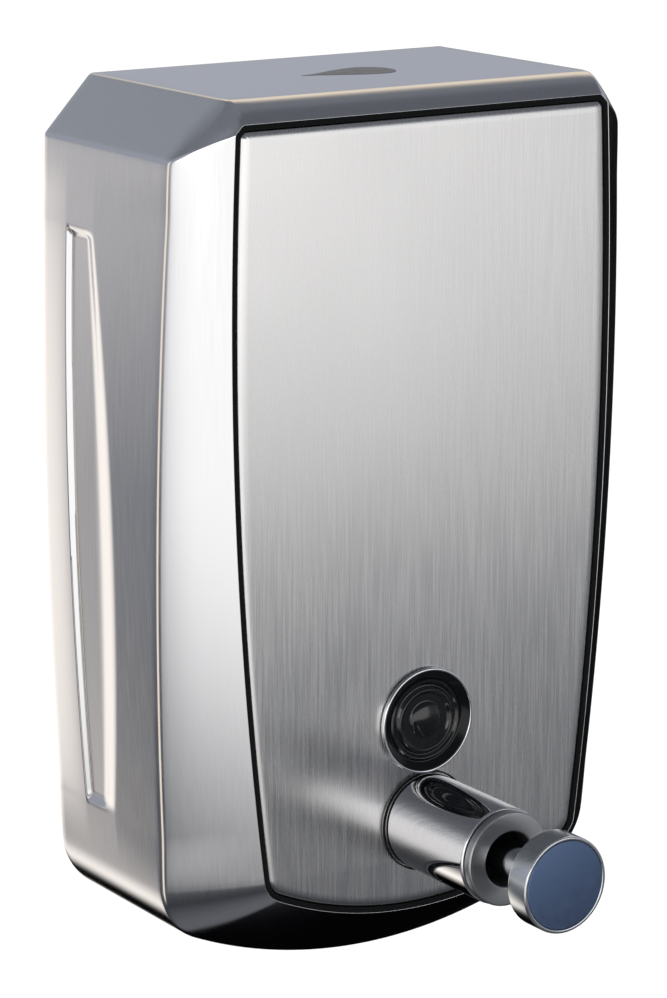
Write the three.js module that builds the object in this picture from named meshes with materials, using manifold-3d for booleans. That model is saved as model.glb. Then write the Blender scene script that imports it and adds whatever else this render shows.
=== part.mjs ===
// Wall mounted soap dispenser. A pressed steel housing with a brushed front panel hangs on four hooks of a
// wall plate and is locked from below. It carries a moulded tank, a round sight window and a push pump.
// Millimetres: +X to the right, +Y into the wall, +Z up. The origin is on the wall face of the wall plate,
// on the centre line, and the top face of the housing is HOUSING.top above it.
import * as THREE from "three";
import { mergeVertices } from "three/addons/utils/BufferGeometryUtils.js";
import Module from "manifold-3d";

const wasm = await Module();
wasm.setup();

// ---------------------------------------------------------------------------------------------------------
// Driving dimensions
// ---------------------------------------------------------------------------------------------------------
const TOUCH = 0.3; // gap left between pieces that bear on each other
const FREE = 1; // clearance where a piece passes another without guiding it
const SHEET = 1; // housing sheet

const HOUSING = {
  top: 100,
  height: 202.3,
  halfWidth: 62.3, // at the widest point of the bowed sides
  widestBelowTop: 86,
  sideRadius: 1180,
  bottomRadius: 118,
  lowerCorner: 16,
  cut: { width: 12, drop: 12.8 }, // flat cut across each upper corner
  depth: 65, // from the wall to the rim round the front panel
  wallGap: 0.5, // the rear rim stands this far off the wall
  rimWidth: 4, // sheet turned in round the open back
  setbackTop: 10, // how far behind the rim the sloped border starts, below the corner cuts
  setbackBottom: 19.4,
  setbackBow: 0.8,
  rollDepth: 7, // the top rolls over into the front
};
const PANEL = {
  sideMargin: 13.1,
  topMargin: 6.2,
  bottomMargin: 15.9,
  widestBelowTop: 55,
  sideRadius: 935,
  bottomRadius: 91,
  lowerCorner: 5,
  cut: { width: 1.2, drop: 1.2 },
  thickness: 1.4,
  edge: 0.7, // size of the eased front edge
  proud: 0.2, // the panel stands this far in front of the rim
  seam: 1.3, // open groove round the panel
};
const POCKET = {
  depth: 1.3,
  topBelowTop: 31.5,
  bottomAboveBottom: 36.8,
  rearTop: 12.4, // distances from the wall
  rearBottom: 15.8,
  frontTop: 24.5,
  frontMiddle: 31.5,
  frontBottom: 28,
  corner: 4,
};
const TANK = { wall: 2, rear: 9.5, bossRadius: 4.5, bossHole: 2, bossInside: 4 };
const WALL_PLATE = {
  thickness: 1.5,
  halfWidth: 45,
  topMargin: 16,
  bottomMargin: 28,
  corner: 8,
  lugHalfWidth: 12, // the lug below the plate that carries the strike
  screwHole: 2.75,
  screwX: 36,
  upperScrewBelowTop: 70,
  lowerScrewAboveBottom: 32,
};
const HOOK = {
  x: 29,
  width: 12,
  leg: 2,
  tongue: 8, // height of the upturned tongue above the leg
  thickness: 1.5,
  play: 0.4, // between the tongue and the hanger plate
  upperBelowTop: 42,
  lowerAboveBottom: 58,
};
const HANGER = { offWall: 4.6, thickness: 1.2, halfWidth: 50, topMargin: 17, bottomMargin: 33, corner: 6 };
const HANGER_SCREW = {
  x: 43,
  upperBelowTop: 27,
  lowerAboveBottom: 43,
  radius: 1.7,
  head: 3.8,
  headFlat: 2.7, // radius of the flat on top of the rounded head
  headHeight: 2,
  drive: { reach: 2.3, halfWidth: 0.5, depth: 1.2 }, // cross recess
};
const LIFT_TRAVEL = 10;
const FILL = { belowTop: 40, neck: 17, lip: 2.3, capHeight: 2, gripHeight: 2.4, gripWidth: 5, gasket: 1 };
const PUMP = {
  aboveBottom: 35.3,
  barrelLength: 30, // chromed part in front of the panel, without its end ring
  cylinderBore: 5.3,
  cylinderWall: 1.1,
  cylinderRear: 24, // distance of the closed end from the wall
  shankWall: 1.3,
  barrelWall: 2.1, // round the counterbore
  counterboreDepth: 11.3,
  flangeWidth: 2.3, // the cylinder's flange stands out this far
  flange: 3,
  ringStep: 0.3, // the end ring is this much smaller in radius than the barrel
  ringThickness: 2.2,
  stroke: 12,
  strokeMargin: 2,
  outletRadius: 2.2,
  inletRadius: 1.8,
  nutWidth: 2.4,
  nutHeight: 4,
  gasket: 1,
};
const PLUNGER = {
  rodRadius: 3.7,
  sealWidthRound: 2.3, // radial width of the seal round the rod
  stubRadius: 2.4,
  channel: 1.2, // radius of the soap channel in the rod's rear end
  crossHole: 0.96, // radius of the hole that lets soap out of the channel
  wiperLength: 4, // of the seal round the rod
  pistonLength: 7,
  pistonGap: 0.3,
  sealGap: 0.08,
  sealWidth: 2,
  sealDepth: 0.9,
  buttonRadius: 10.9,
  buttonThickness: 6.5,
  buttonEdge: 0.8,
  socketDepth: 2.4,
};
const SPRING = { wire: 0.45, turns: 7, stepsPerTurn: 10 };
const BALL = { radius: 2.2, seatGap: 0.12, seatOverlap: 0.8 };
const INLET = { wall: 1.6, chamberHeight: 7.6, seatHeight: 1.5, socket: 4, tubeWall: 0.9 };
const SIGHT = {
  gapAbovePump: 0.45, // between the bezel and the barrel
  bezelRadius: 12.25,
  bezelHeight: 1.1,
  bezelStep: 1.35, // the shank is this much smaller in radius than the bezel
  shankWall: 1.3,
  plugRear: 7, // the clear plug reaches this far behind the rim
  ringOuter: 7.6,
  ringInner: 6.4,
  domeRadius: 4.2,
  nutWidth: 1.5,
  nutHeight: 3.5,
};
const LOCK = {
  fromWall: 16,
  plugRadius: 5,
  barrelWall: 2.2,
  bodyHeight: 14,
  headWidth: 1.5,
  headHeight: 1.2,
  nutWidth: 3,
  nutHeight: 3,
  keySlot: { length: 6, width: 1.4, depth: 4 },
  camReach: 13,
  camWidth: 8,
  camThickness: 2,
  screwRadius: 3.4,
  screwHeight: 1.8,
};
const STRIKE = { halfWidth: 8, thickness: 1.5, reach: 8.5, gap: 0.5 };

// ---------------------------------------------------------------------------------------------------------
// Levels and depths that follow from them. A depth is a distance in front of the wall, so y = -depth.
// ---------------------------------------------------------------------------------------------------------
const housingBottom = HOUSING.top - HOUSING.height;
const panelFace = HOUSING.depth + PANEL.proud;
const panelBack = panelFace - PANEL.thickness;
const recessFloor = panelBack - TOUCH;
const cavityFront = recessFloor - SHEET;
const tankInset = POCKET.depth + SHEET + FREE;
const tankFront = HOUSING.depth - tankInset;
const tankInnerFront = tankFront - TANK.wall;
const tankInnerRear = TANK.rear + TANK.wall;
const hangerFront = HANGER.offWall + HANGER.thickness;
const cylinderRadius = PUMP.cylinderBore + PUMP.cylinderWall;
const flangeRadius = cylinderRadius + PUMP.flangeWidth;
const barrelBore = cylinderRadius + TOUCH;
const shankRadius = barrelBore + PUMP.shankWall;
const counterbore = flangeRadius + TOUCH;
const barrelRadius = counterbore + PUMP.barrelWall;
const ringRadius = barrelRadius - PUMP.ringStep;
const ringHole = PLUNGER.rodRadius + PLUNGER.sealWidthRound + TOUCH;
const pumpNutRadius = shankRadius + PUMP.nutWidth;
const pumpZ = housingBottom + PUMP.aboveBottom;
const sightShankRadius = SIGHT.bezelRadius - SIGHT.bezelStep;
const sightBore = sightShankRadius - SIGHT.shankWall;
const sightNutRadius = sightShankRadius + TOUCH + SIGHT.nutWidth;
const sightZ = pumpZ + barrelRadius + SIGHT.gapAbovePump + SIGHT.bezelRadius;
const fillZ = HOUSING.top - FILL.belowTop;
const barrelRear = panelFace + TOUCH;
const barrelFront = barrelRear + PUMP.barrelLength;
const ringFront = barrelFront + TOUCH + PUMP.ringThickness;
const lockRadius = LOCK.plugRadius + TOUCH + LOCK.barrelWall;
const lockHeadRadius = lockRadius + LOCK.headWidth;
const lockNutRadius = lockRadius + TOUCH + LOCK.nutWidth;
const lockRoomFront = LOCK.fromWall + LOCK.camReach + FREE;
const chamberRadius = BALL.radius + INLET.seatHeight / 2;
const inletRadius = chamberRadius + INLET.wall;
const inletDepth = lockRoomFront + TANK.wall + 2 * FREE + inletRadius;
const buttonRear = ringFront + PUMP.stroke + PUMP.strokeMargin;

// ---------------------------------------------------------------------------------------------------------
// Shape helpers
// ---------------------------------------------------------------------------------------------------------
const LARGE_CIRCLE_STEPS = 28;
const CIRCLE_STEPS = 24;
const SMALL_CIRCLE_STEPS = 16;
const BALL_STEPS = 12;
const DOME_STEPS = 3;

/** A closed three.js geometry as a solid that can be joined and cut. */
function solidOf(geometry) {
  const bare = geometry.clone();
  bare.deleteAttribute("normal");
  bare.deleteAttribute("uv");
  const merged = mergeVertices(bare, 1e-4);
  return new wasm.Manifold(
    new wasm.Mesh({
      numProp: 3,
      vertProperties: merged.attributes.position.array,
      triVerts: new Uint32Array(merged.index.array),
    }),
  );
}

/** A solid back as a three.js geometry. */
function geometryOf(solid) {
  const mesh = solid.getMesh();
  const geometry = new THREE.BufferGeometry();
  geometry.setAttribute("position", new THREE.BufferAttribute(new Float32Array(mesh.vertProperties), 3));
  geometry.setIndex(new THREE.BufferAttribute(new Uint32Array(mesh.triVerts), 1));
  geometry.computeVertexNormals();
  return geometry;
}

/** Cuts each tool from a solid. */
function cut(solid, ...tools) {
  return tools.reduce((left, tool) => left.subtract(tool), solid);
}

/** Joins solids that share some volume. */
function join(solid, ...others) {
  return others.reduce((whole, other) => whole.add(other), solid);
}

/** A box between two corners. */
function block(low, high) {
  const size = high.map((value, axis) => value - low[axis]);
  const geometry = new THREE.BoxGeometry(...size);
  geometry.translate(...low.map((value, axis) => value + size[axis] / 2));
  return solidOf(geometry);
}

/** A shape drawn in X and Z, made solid from one depth to a greater one. */
function plate(shape, rear, front, curveSegments = 6) {
  const geometry = new THREE.ExtrudeGeometry(shape, { depth: front - rear, bevelEnabled: false, curveSegments });
  geometry.applyMatrix4(
    new THREE.Matrix4().makeBasis(
      new THREE.Vector3(1, 0, 0),
      new THREE.Vector3(0, 0, 1),
      new THREE.Vector3(0, -1, 0),
    ),
  );
  geometry.translate(0, -rear, 0);
  return solidOf(geometry);
}

/** A rectangle with rounded corners, drawn in X and Z. */
function roundedRectangle(left, right, bottom, top, corner) {
  const shape = new THREE.Shape();
  shape.absarc(right - corner, top - corner, corner, Math.PI / 2, 0, true);
  shape.absarc(right - corner, bottom + corner, corner, 0, -Math.PI / 2, true);
  shape.absarc(left + corner, bottom + corner, corner, -Math.PI / 2, -Math.PI, true);
  shape.absarc(left + corner, top - corner, corner, Math.PI, Math.PI / 2, true);
  return shape;
}

/** Turns a closed profile of [radius, height] points the way LatheGeometry needs for outward faces. */
function turnedGeometry(profile, steps) {
  const points = profile.map(([radius, height]) => new THREE.Vector2(radius, height));
  const open = points[0].x === 0 && points[points.length - 1].x === 0;
  if (!open) points.push(points[0].clone());
  if (THREE.ShapeUtils.area(points) < 0) points.reverse();
  return new THREE.LatheGeometry(points, steps);
}

/** A turned piece whose axis runs out from the wall at height z; its profile is [radius, depth] points. */
function turnedOut(profile, z, steps = CIRCLE_STEPS) {
  const geometry = turnedGeometry(
    profile.map(([radius, depth]) => [radius, -depth]),
    steps,
  );
  geometry.translate(0, 0, z);
  return solidOf(geometry);
}

/** A turned piece with an upright axis at the given depth; its profile is [radius, z] points. */
function turnedUp(profile, depth, steps = SMALL_CIRCLE_STEPS) {
  const geometry = turnedGeometry(profile, steps);
  geometry.rotateX(Math.PI / 2);
  geometry.translate(0, -depth, 0);
  return solidOf(geometry);
}

/** A solid rod that runs out from the wall, from one depth to a greater one. */
function rodOut(radius, rear, front, x, z, steps = SMALL_CIRCLE_STEPS) {
  return turnedOut(
    [
      [0, rear],
      [radius, rear],
      [radius, front],
      [0, front],
    ],
    z,
    steps,
  ).translate(x, 0, 0);
}

/** A solid upright rod. */
function rodUp(radius, bottom, top, depth, steps = SMALL_CIRCLE_STEPS) {
  return turnedUp(
    [
      [0, bottom],
      [radius, bottom],
      [radius, top],
      [0, top],
    ],
    depth,
    steps,
  );
}

/** A washer that runs out from the wall. */
function washerOut(inner, outer, rear, front, z) {
  return turnedOut(
    [
      [inner, rear],
      [outer, rear],
      [outer, front],
      [inner, front],
    ],
    z,
  );
}

/** A hexagonal nut, by its corner radius. */
function hexNut(corner, hole, low, high) {
  const shape = new THREE.Shape(
    Array.from({ length: 6 }, (_, side) => {
      const angle = (side * Math.PI) / 3;
      return new THREE.Vector2(corner * Math.cos(angle), corner * Math.sin(angle));
    }),
  );
  shape.holes.push(new THREE.Path().absarc(0, 0, hole, 0, 2 * Math.PI, true));
  const geometry = new THREE.ExtrudeGeometry(shape, {
    depth: high - low,
    bevelEnabled: false,
    curveSegments: SMALL_CIRCLE_STEPS,
  });
  geometry.translate(0, 0, low);
  return geometry;
}

// ---------------------------------------------------------------------------------------------------------
// Outlines of the housing and of the panel
// ---------------------------------------------------------------------------------------------------------
const ROLL_STEPS = 3;
const OUTLINE_STEPS = { top: 1, cut: 3, side: 10, corner: 4, bottom: 5 };

const housingEdge = {
  top: HOUSING.top,
  bottom: housingBottom,
  halfWidth: HOUSING.halfWidth,
  widestZ: HOUSING.top - HOUSING.widestBelowTop,
  sideRadius: HOUSING.sideRadius,
  bottomRadius: HOUSING.bottomRadius,
  lowerCorner: HOUSING.lowerCorner,
  cut: HOUSING.cut,
};
const panelEdge = {
  top: HOUSING.top - PANEL.topMargin,
  bottom: housingBottom + PANEL.bottomMargin,
  halfWidth: HOUSING.halfWidth - PANEL.sideMargin,
  widestZ: HOUSING.top - PANEL.widestBelowTop,
  sideRadius: PANEL.sideRadius,
  bottomRadius: PANEL.bottomRadius,
  lowerCorner: PANEL.lowerCorner,
  cut: PANEL.cut,
};

/** Points on an arc, without its first point. */
function arc(centre, radius, from, to, steps) {
  return Array.from({ length: steps }, (_, i) => {
    const angle = from + ((to - from) * (i + 1)) / steps;
    return new THREE.Vector2(centre.x + radius * Math.cos(angle), centre.y + radius * Math.sin(angle));
  });
}

/**
 * The closed outline of a front view, moved inwards by inset: a flat top, cut upper corners, bowed sides,
 * round lower corners and a bowed bottom. Points run clockwise from the middle of the top.
 */
function outline(edge, inset = 0) {
  const sideRadius = edge.sideRadius - inset;
  const sideCentre = new THREE.Vector2(edge.halfWidth - edge.sideRadius, edge.widestZ);
  const sideX = (z, radius) => sideCentre.x + Math.sqrt(radius ** 2 - (z - sideCentre.y) ** 2);
  const slope = Math.atan2(edge.cut.drop, edge.cut.width);
  const top = edge.top - inset;
  const cutStartX =
    sideX(edge.top - edge.cut.drop, edge.sideRadius) - edge.cut.width - inset * Math.tan(slope / 2);
  const cutEndZ = edge.top - edge.cut.drop - inset * Math.tan((Math.PI / 2 - slope) / 2);
  const cutEnd = new THREE.Vector2(sideX(cutEndZ, sideRadius), cutEndZ);

  const bottomRadius = edge.bottomRadius - inset;
  const bottomCentre = new THREE.Vector2(0, edge.bottom + edge.bottomRadius);
  const corner = Math.max(edge.lowerCorner - inset, 1);
  const between = bottomCentre.clone().sub(sideCentre);
  const span = between.length();
  const reach = ((sideRadius - corner) ** 2 - (bottomRadius - corner) ** 2 + span ** 2) / (2 * span);
  const across = Math.sqrt((sideRadius - corner) ** 2 - reach ** 2);
  between.normalize();
  const cornerCentre = new THREE.Vector2(
    sideCentre.x + between.x * reach + between.y * across,
    sideCentre.y + between.y * reach - between.x * across,
  );
  const sideEnd = cornerCentre.clone().sub(sideCentre).angle() - 2 * Math.PI;
  const bottomStart = cornerCentre.clone().sub(bottomCentre).angle() - 2 * Math.PI;
  const sideStart = Math.asin((cutEnd.y - sideCentre.y) / sideRadius);

  const right = [new THREE.Vector2(0, top)];
  for (let i = 1; i <= OUTLINE_STEPS.top; i += 1) {
    right.push(new THREE.Vector2((cutStartX * i) / OUTLINE_STEPS.top, top));
  }
  const cutStart = right[right.length - 1];
  for (let i = 1; i <= OUTLINE_STEPS.cut; i += 1) {
    right.push(cutStart.clone().lerp(cutEnd, i / OUTLINE_STEPS.cut));
  }
  right.push(...arc(sideCentre, sideRadius, sideStart, sideEnd, OUTLINE_STEPS.side));
  right.push(...arc(cornerCentre, corner, sideEnd, bottomStart, OUTLINE_STEPS.corner));
  right.push(...arc(bottomCentre, bottomRadius, bottomStart, -Math.PI / 2, OUTLINE_STEPS.bottom));
  right[right.length - 1].x = 0;
  const left = right.slice(1, -1).reverse();
  return [...right, ...left.map((point) => new THREE.Vector2(-point.x, point.y))];
}

/** How strongly a point of the outline takes part in the roll at the top: 1 on the flat, 0 below the cut. */
function rollShare(index, count) {
  const fromTop = Math.min(index, count - index);
  return THREE.MathUtils.clamp(1 - (fromTop - OUTLINE_STEPS.top) / OUTLINE_STEPS.cut, 0, 1);
}

/** Depth at which the side wall ends and the sloped border begins, at height z. */
function borderDepth(z) {
  const cutBottom = HOUSING.top - HOUSING.cut.drop;
  const rise = (z - housingBottom) / (cutBottom - housingBottom);
  if (rise > 1) {
    const past = (z - cutBottom) / HOUSING.cut.drop;
    return HOUSING.depth - THREE.MathUtils.lerp(HOUSING.setbackTop, HOUSING.rollDepth, past);
  }
  const setback = THREE.MathUtils.lerp(HOUSING.setbackBottom, HOUSING.setbackTop, rise);
  return HOUSING.depth - setback + HOUSING.setbackBow * 4 * rise * (1 - rise);
}

/** A closed solid through rings of equal length, from the rear ring to the front one. */
function loft(rings) {
  const count = rings[0].length;
  const positions = rings.flat().flatMap((point) => [point.x, point.y, point.z]);
  const triangles = [];
  for (let ring = 0; ring + 1 < rings.length; ring += 1) {
    for (let i = 0; i < count; i += 1) {
      const a = ring * count + i;
      const b = ring * count + ((i + 1) % count);
      triangles.push(a, a + count, b, b, a + count, b + count);
    }
  }
  const cap = (ring, flip) => {
    const flat = rings[ring].map((point) => new THREE.Vector2(point.x, point.z));
    THREE.ShapeUtils.triangulateShape(flat, []).forEach(([a, b, c]) => {
      const corners = flip ? [a, c, b] : [a, b, c];
      triangles.push(...corners.map((corner) => ring * count + corner));
    });
  };
  cap(0, true);
  cap(rings.length - 1, false);
  const geometry = new THREE.BufferGeometry();
  geometry.setAttribute("position", new THREE.Float32BufferAttribute(positions, 3));
  geometry.setIndex(triangles);
  return solidOf(geometry);
}

/**
 * The housing's body moved inwards by inset, from a rear depth to its front. The side wall runs out to the
 * border, and the border slopes in to the panel's outline, but rolls over at the top.
 */
function housingBody(inset, rear) {
  const slopeShare = Math.tan(Math.PI / 8); // moves an edge of about 45 degrees square to both its faces
  const side = outline(housingEdge, inset);
  const front = outline(panelEdge, inset * slopeShare - PANEL.seam - PANEL.edge);
  const count = side.length;
  const edge = side.map((point) => {
    const depth = borderDepth(point.y + inset) - inset * slopeShare;
    return new THREE.Vector3(point.x, -depth, point.y);
  });
  const frontDepth = HOUSING.depth - inset;
  const rings = [side.map((point) => new THREE.Vector3(point.x, -rear, point.y))];
  for (let step = 0; step <= ROLL_STEPS; step += 1) {
    const along = step / ROLL_STEPS;
    const out = Math.sin((along * Math.PI) / 2);
    const down = 1 - Math.cos((along * Math.PI) / 2);
    rings.push(
      edge.map((start, i) => {
        const share = rollShare(i, count);
        const end = new THREE.Vector3(front[i].x, -frontDepth, front[i].y);
        const inwards = THREE.MathUtils.lerp(along, down, share);
        const forwards = THREE.MathUtils.lerp(along, out, share);
        return new THREE.Vector3(
          THREE.MathUtils.lerp(start.x, end.x, inwards),
          THREE.MathUtils.lerp(start.y, end.y, forwards),
          THREE.MathUtils.lerp(start.z, end.z, inwards),
        );
      }),
    );
  }
  return loft(rings);
}

// ---------------------------------------------------------------------------------------------------------
// Housing and panel
// ---------------------------------------------------------------------------------------------------------
/** The stamped pocket of the right side wall, grown by a margin on every face. */
function pocketSolid(margin) {
  const top = HOUSING.top - POCKET.topBelowTop + margin;
  const bottom = housingBottom + POCKET.bottomAboveBottom - margin;
  const rearTop = POCKET.rearTop - margin;
  const rearBottom = POCKET.rearBottom - margin;
  const frontTop = POCKET.frontTop + margin;
  const frontBottom = POCKET.frontBottom + margin;
  const waist = 2 * (POCKET.frontMiddle + margin) - (frontTop + frontBottom) / 2;
  const corner = POCKET.corner + margin;
  const shape = new THREE.Shape();
  shape.moveTo(-rearTop, top - corner);
  shape.quadraticCurveTo(-rearTop, top, -rearTop - corner, top);
  shape.lineTo(-frontTop + corner, top);
  shape.quadraticCurveTo(-frontTop, top, -frontTop, top - corner);
  shape.quadraticCurveTo(-waist, (top + bottom) / 2, -frontBottom, bottom + corner);
  shape.quadraticCurveTo(-frontBottom, bottom, -frontBottom + corner, bottom);
  shape.lineTo(-rearBottom - corner, bottom);
  shape.quadraticCurveTo(-rearBottom, bottom, -rearBottom, bottom + corner);
  shape.closePath();
  const floor = HOUSING.halfWidth - POCKET.depth - margin;
  const geometry = new THREE.ExtrudeGeometry(shape, {
    depth: POCKET.depth + FREE + margin,
    bevelEnabled: false,
    curveSegments: 6,
  });
  geometry.applyMatrix4(
    new THREE.Matrix4().makeBasis(
      new THREE.Vector3(0, 1, 0),
      new THREE.Vector3(0, 0, 1),
      new THREE.Vector3(1, 0, 0),
    ),
  );
  geometry.translate(floor, 0, 0);
  return solidOf(geometry);
}

/** The pockets of both side walls. */
function pocketPair(margin) {
  const right = pocketSolid(margin);
  return join(right, right.mirror([1, 0, 0]));
}

/** Everything in front of a depth, to trim a body to it. */
function inFrontOf(depth) {
  const far = HOUSING.halfWidth + HOUSING.height;
  return block([-far, -depth - far, housingBottom - far], [far, -depth, HOUSING.top + far]);
}

/** A straight solid of the panel's or the housing's outline. */
function outlinePlate(edge, inset, rear, front) {
  return plate(new THREE.Shape(outline(edge, inset)), rear, front);
}

function housingShell() {
  const rimDepth = HOUSING.wallGap + SHEET;
  const opening = outlinePlate(housingEdge, SHEET + HOUSING.rimWidth, -FREE, rimDepth + FREE);
  const room = cut(housingBody(SHEET, rimDepth), inFrontOf(cavityFront), pocketPair(SHEET));
  const recess = outlinePlate(panelEdge, -PANEL.seam, recessFloor, HOUSING.depth + FREE);
  return cut(
    housingBody(0, HOUSING.wallGap),
    pocketPair(0),
    join(room, opening),
    recess,
    rodOut(sightShankRadius + TOUCH, 0, panelFace, 0, sightZ, CIRCLE_STEPS),
    rodOut(shankRadius + TOUCH, 0, panelFace, 0, pumpZ, CIRCLE_STEPS),
    rodUp(lockRadius + TOUCH, housingBottom - FREE, housingBottom + LOCK.bodyHeight, LOCK.fromWall),
  );
}

function frontPanel() {
  const ring = (inset, depth) =>
    outline(panelEdge, inset).map((point) => new THREE.Vector3(point.x, -depth, point.y));
  return cut(
    loft([ring(0, panelBack), ring(0, panelFace - PANEL.edge), ring(PANEL.edge, panelFace)]),
    rodOut(sightShankRadius + TOUCH, 0, panelFace + FREE, 0, sightZ, CIRCLE_STEPS),
    rodOut(shankRadius + TOUCH, 0, panelFace + FREE, 0, pumpZ, CIRCLE_STEPS),
  );
}

// ---------------------------------------------------------------------------------------------------------
// Wall plate, hooks and hanger plate
// ---------------------------------------------------------------------------------------------------------
const lockTopZ = housingBottom + LOCK.bodyHeight;
const camBottomZ = lockTopZ + TOUCH;
const camTopZ = camBottomZ + LOCK.camThickness;
const strikeZ = camTopZ + STRIKE.gap;
const tongueRear = hangerFront + HOOK.play;
const tongueFront = tongueRear + HOOK.thickness;

/** Four points: both sides of the centre line, at an upper and a lower level. */
function fourPoints(x, upperZ, lowerZ) {
  return [upperZ, lowerZ].flatMap((z) => [-x, x].map((side) => ({ x: side, z })));
}

const hookPoints = fourPoints(HOOK.x, HOUSING.top - HOOK.upperBelowTop, housingBottom + HOOK.lowerAboveBottom);
const hangerScrewPoints = fourPoints(
  HANGER_SCREW.x,
  HOUSING.top - HANGER_SCREW.upperBelowTop,
  housingBottom + HANGER_SCREW.lowerAboveBottom,
);
const wallScrewPoints = fourPoints(
  WALL_PLATE.screwX,
  HOUSING.top - WALL_PLATE.upperScrewBelowTop,
  housingBottom + WALL_PLATE.lowerScrewAboveBottom,
);

function wallPlate() {
  const sheet = plate(
    roundedRectangle(
      -WALL_PLATE.halfWidth,
      WALL_PLATE.halfWidth,
      housingBottom + WALL_PLATE.bottomMargin,
      HOUSING.top - WALL_PLATE.topMargin,
      WALL_PLATE.corner,
    ),
    0,
    WALL_PLATE.thickness,
  );
  const lug = block(
    [-WALL_PLATE.lugHalfWidth, -WALL_PLATE.thickness, strikeZ],
    [WALL_PLATE.lugHalfWidth, 0, housingBottom + WALL_PLATE.bottomMargin + WALL_PLATE.corner],
  );
  const half = HOOK.width / 2;
  const hooks = hookPoints.flatMap(({ x, z }) => [
    block([x - half, -tongueFront, z - HOOK.leg], [x + half, -WALL_PLATE.thickness / 2, z]),
    block([x - half, -tongueFront, z - HOOK.leg], [x + half, -tongueRear, z + HOOK.tongue]),
  ]);
  const lances = hookPoints.map(({ x, z }) =>
    block([x - half, -WALL_PLATE.thickness - FREE, z], [x + half, FREE, z + HOOK.tongue]),
  );
  const strike = block(
    [-STRIKE.halfWidth, -STRIKE.reach, strikeZ],
    [STRIKE.halfWidth, -WALL_PLATE.thickness / 2, strikeZ + STRIKE.thickness],
  );
  const screwHoles = wallScrewPoints.map(({ x, z }) =>
    rodOut(WALL_PLATE.screwHole, -FREE, WALL_PLATE.thickness + FREE, x, z),
  );
  return join(cut(join(sheet, lug), ...screwHoles, ...lances), ...hooks, strike);
}

function hangerPlate() {
  const sheet = plate(
    roundedRectangle(
      -HANGER.halfWidth,
      HANGER.halfWidth,
      housingBottom + HANGER.bottomMargin,
      HOUSING.top - HANGER.topMargin,
      HANGER.corner,
    ),
    HANGER.offWall,
    hangerFront,
  );
  const half = HOOK.width / 2 + FREE;
  const slots = hookPoints.map(({ x, z }) =>
    block(
      [x - half, -hangerFront - FREE, z - HOOK.leg - LIFT_TRAVEL - FREE],
      [x + half, -HANGER.offWall + FREE, z + TOUCH],
    ),
  );
  const capWindow = rodOut(FILL.neck + FILL.lip + 3 * FREE, 0, hangerFront + FREE, 0, fillZ, CIRCLE_STEPS);
  const screwHoles = hangerScrewPoints.map(({ x, z }) =>
    rodOut(HANGER_SCREW.radius + TOUCH, HANGER.offWall - FREE, hangerFront + FREE, x, z),
  );
  return cut(sheet, capWindow, ...slots, ...screwHoles);
}

function hangerScrew({ x, z }) {
  const headRear = HANGER.offWall - TOUCH - HANGER_SCREW.headHeight;
  const tip = TANK.rear + TANK.bossInside - FREE;
  const { reach, halfWidth, depth } = HANGER_SCREW.drive;
  const drive = [
    [reach, halfWidth],
    [halfWidth, reach],
  ].map(([halfX, halfZ]) => block([-halfX, -headRear - depth, -halfZ], [halfX, -headRear + FREE, halfZ]));
  const screw = turnedOut(
    [
      [0, headRear],
      [HANGER_SCREW.headFlat, headRear],
      [HANGER_SCREW.head, headRear + HANGER_SCREW.headHeight / 2],
      [HANGER_SCREW.head, HANGER.offWall - TOUCH],
      [HANGER_SCREW.radius, HANGER.offWall - TOUCH],
      [HANGER_SCREW.radius, tip - FREE],
      [0, tip],
    ],
    0,
    SMALL_CIRCLE_STEPS,
  );
  return cut(screw, ...drive).translate(x, 0, z);
}

// ---------------------------------------------------------------------------------------------------------
// Tank and fill cap
// ---------------------------------------------------------------------------------------------------------
/** The recess that the tank leaves round the lock, grown by a margin. */
function lockRoom(margin) {
  const half = LOCK.camReach + 2 * FREE + margin;
  const top = strikeZ + STRIKE.thickness + 2 * FREE + margin;
  return block([-half, -lockRoomFront - margin, housingBottom - FREE], [half, FREE, top]);
}

function tank() {
  const bosses = hangerScrewPoints.map(({ x, z }) =>
    rodOut(TANK.bossRadius, hangerFront + TOUCH, TANK.rear + TANK.wall / 2, x, z),
  );
  const innerBosses = hangerScrewPoints.map(({ x, z }) =>
    rodOut(TANK.bossRadius, TANK.rear, TANK.rear + TANK.bossInside + TANK.wall, x, z),
  );
  const bossHoles = hangerScrewPoints.map(({ x, z }) =>
    rodOut(TANK.bossHole, hangerFront, TANK.rear + TANK.bossInside, x, z),
  );
  const room = cut(housingBody(tankInset + TANK.wall, tankInnerRear), lockRoom(TANK.wall), ...innerBosses);
  return cut(
    join(cut(housingBody(tankInset, TANK.rear), lockRoom(0)), ...bosses),
    room,
    ...bossHoles,
    rodOut(FILL.neck, TANK.rear - FREE, tankInnerRear + FREE, 0, fillZ, CIRCLE_STEPS),
    rodOut(sightShankRadius + TOUCH, tankInnerFront - FREE, tankFront + FREE, 0, sightZ, CIRCLE_STEPS),
    rodOut(shankRadius + TOUCH, tankInnerFront - FREE, tankFront + FREE, 0, pumpZ, CIRCLE_STEPS),
  );
}

const gasketRear = TANK.rear - TOUCH - FILL.gasket;
const capFront = gasketRear - TOUCH;
const capRear = capFront - FILL.capHeight;

function fillGasket() {
  return washerOut(FILL.neck + TOUCH, FILL.neck + FILL.lip, gasketRear, TANK.rear - TOUCH, fillZ);
}

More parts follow.
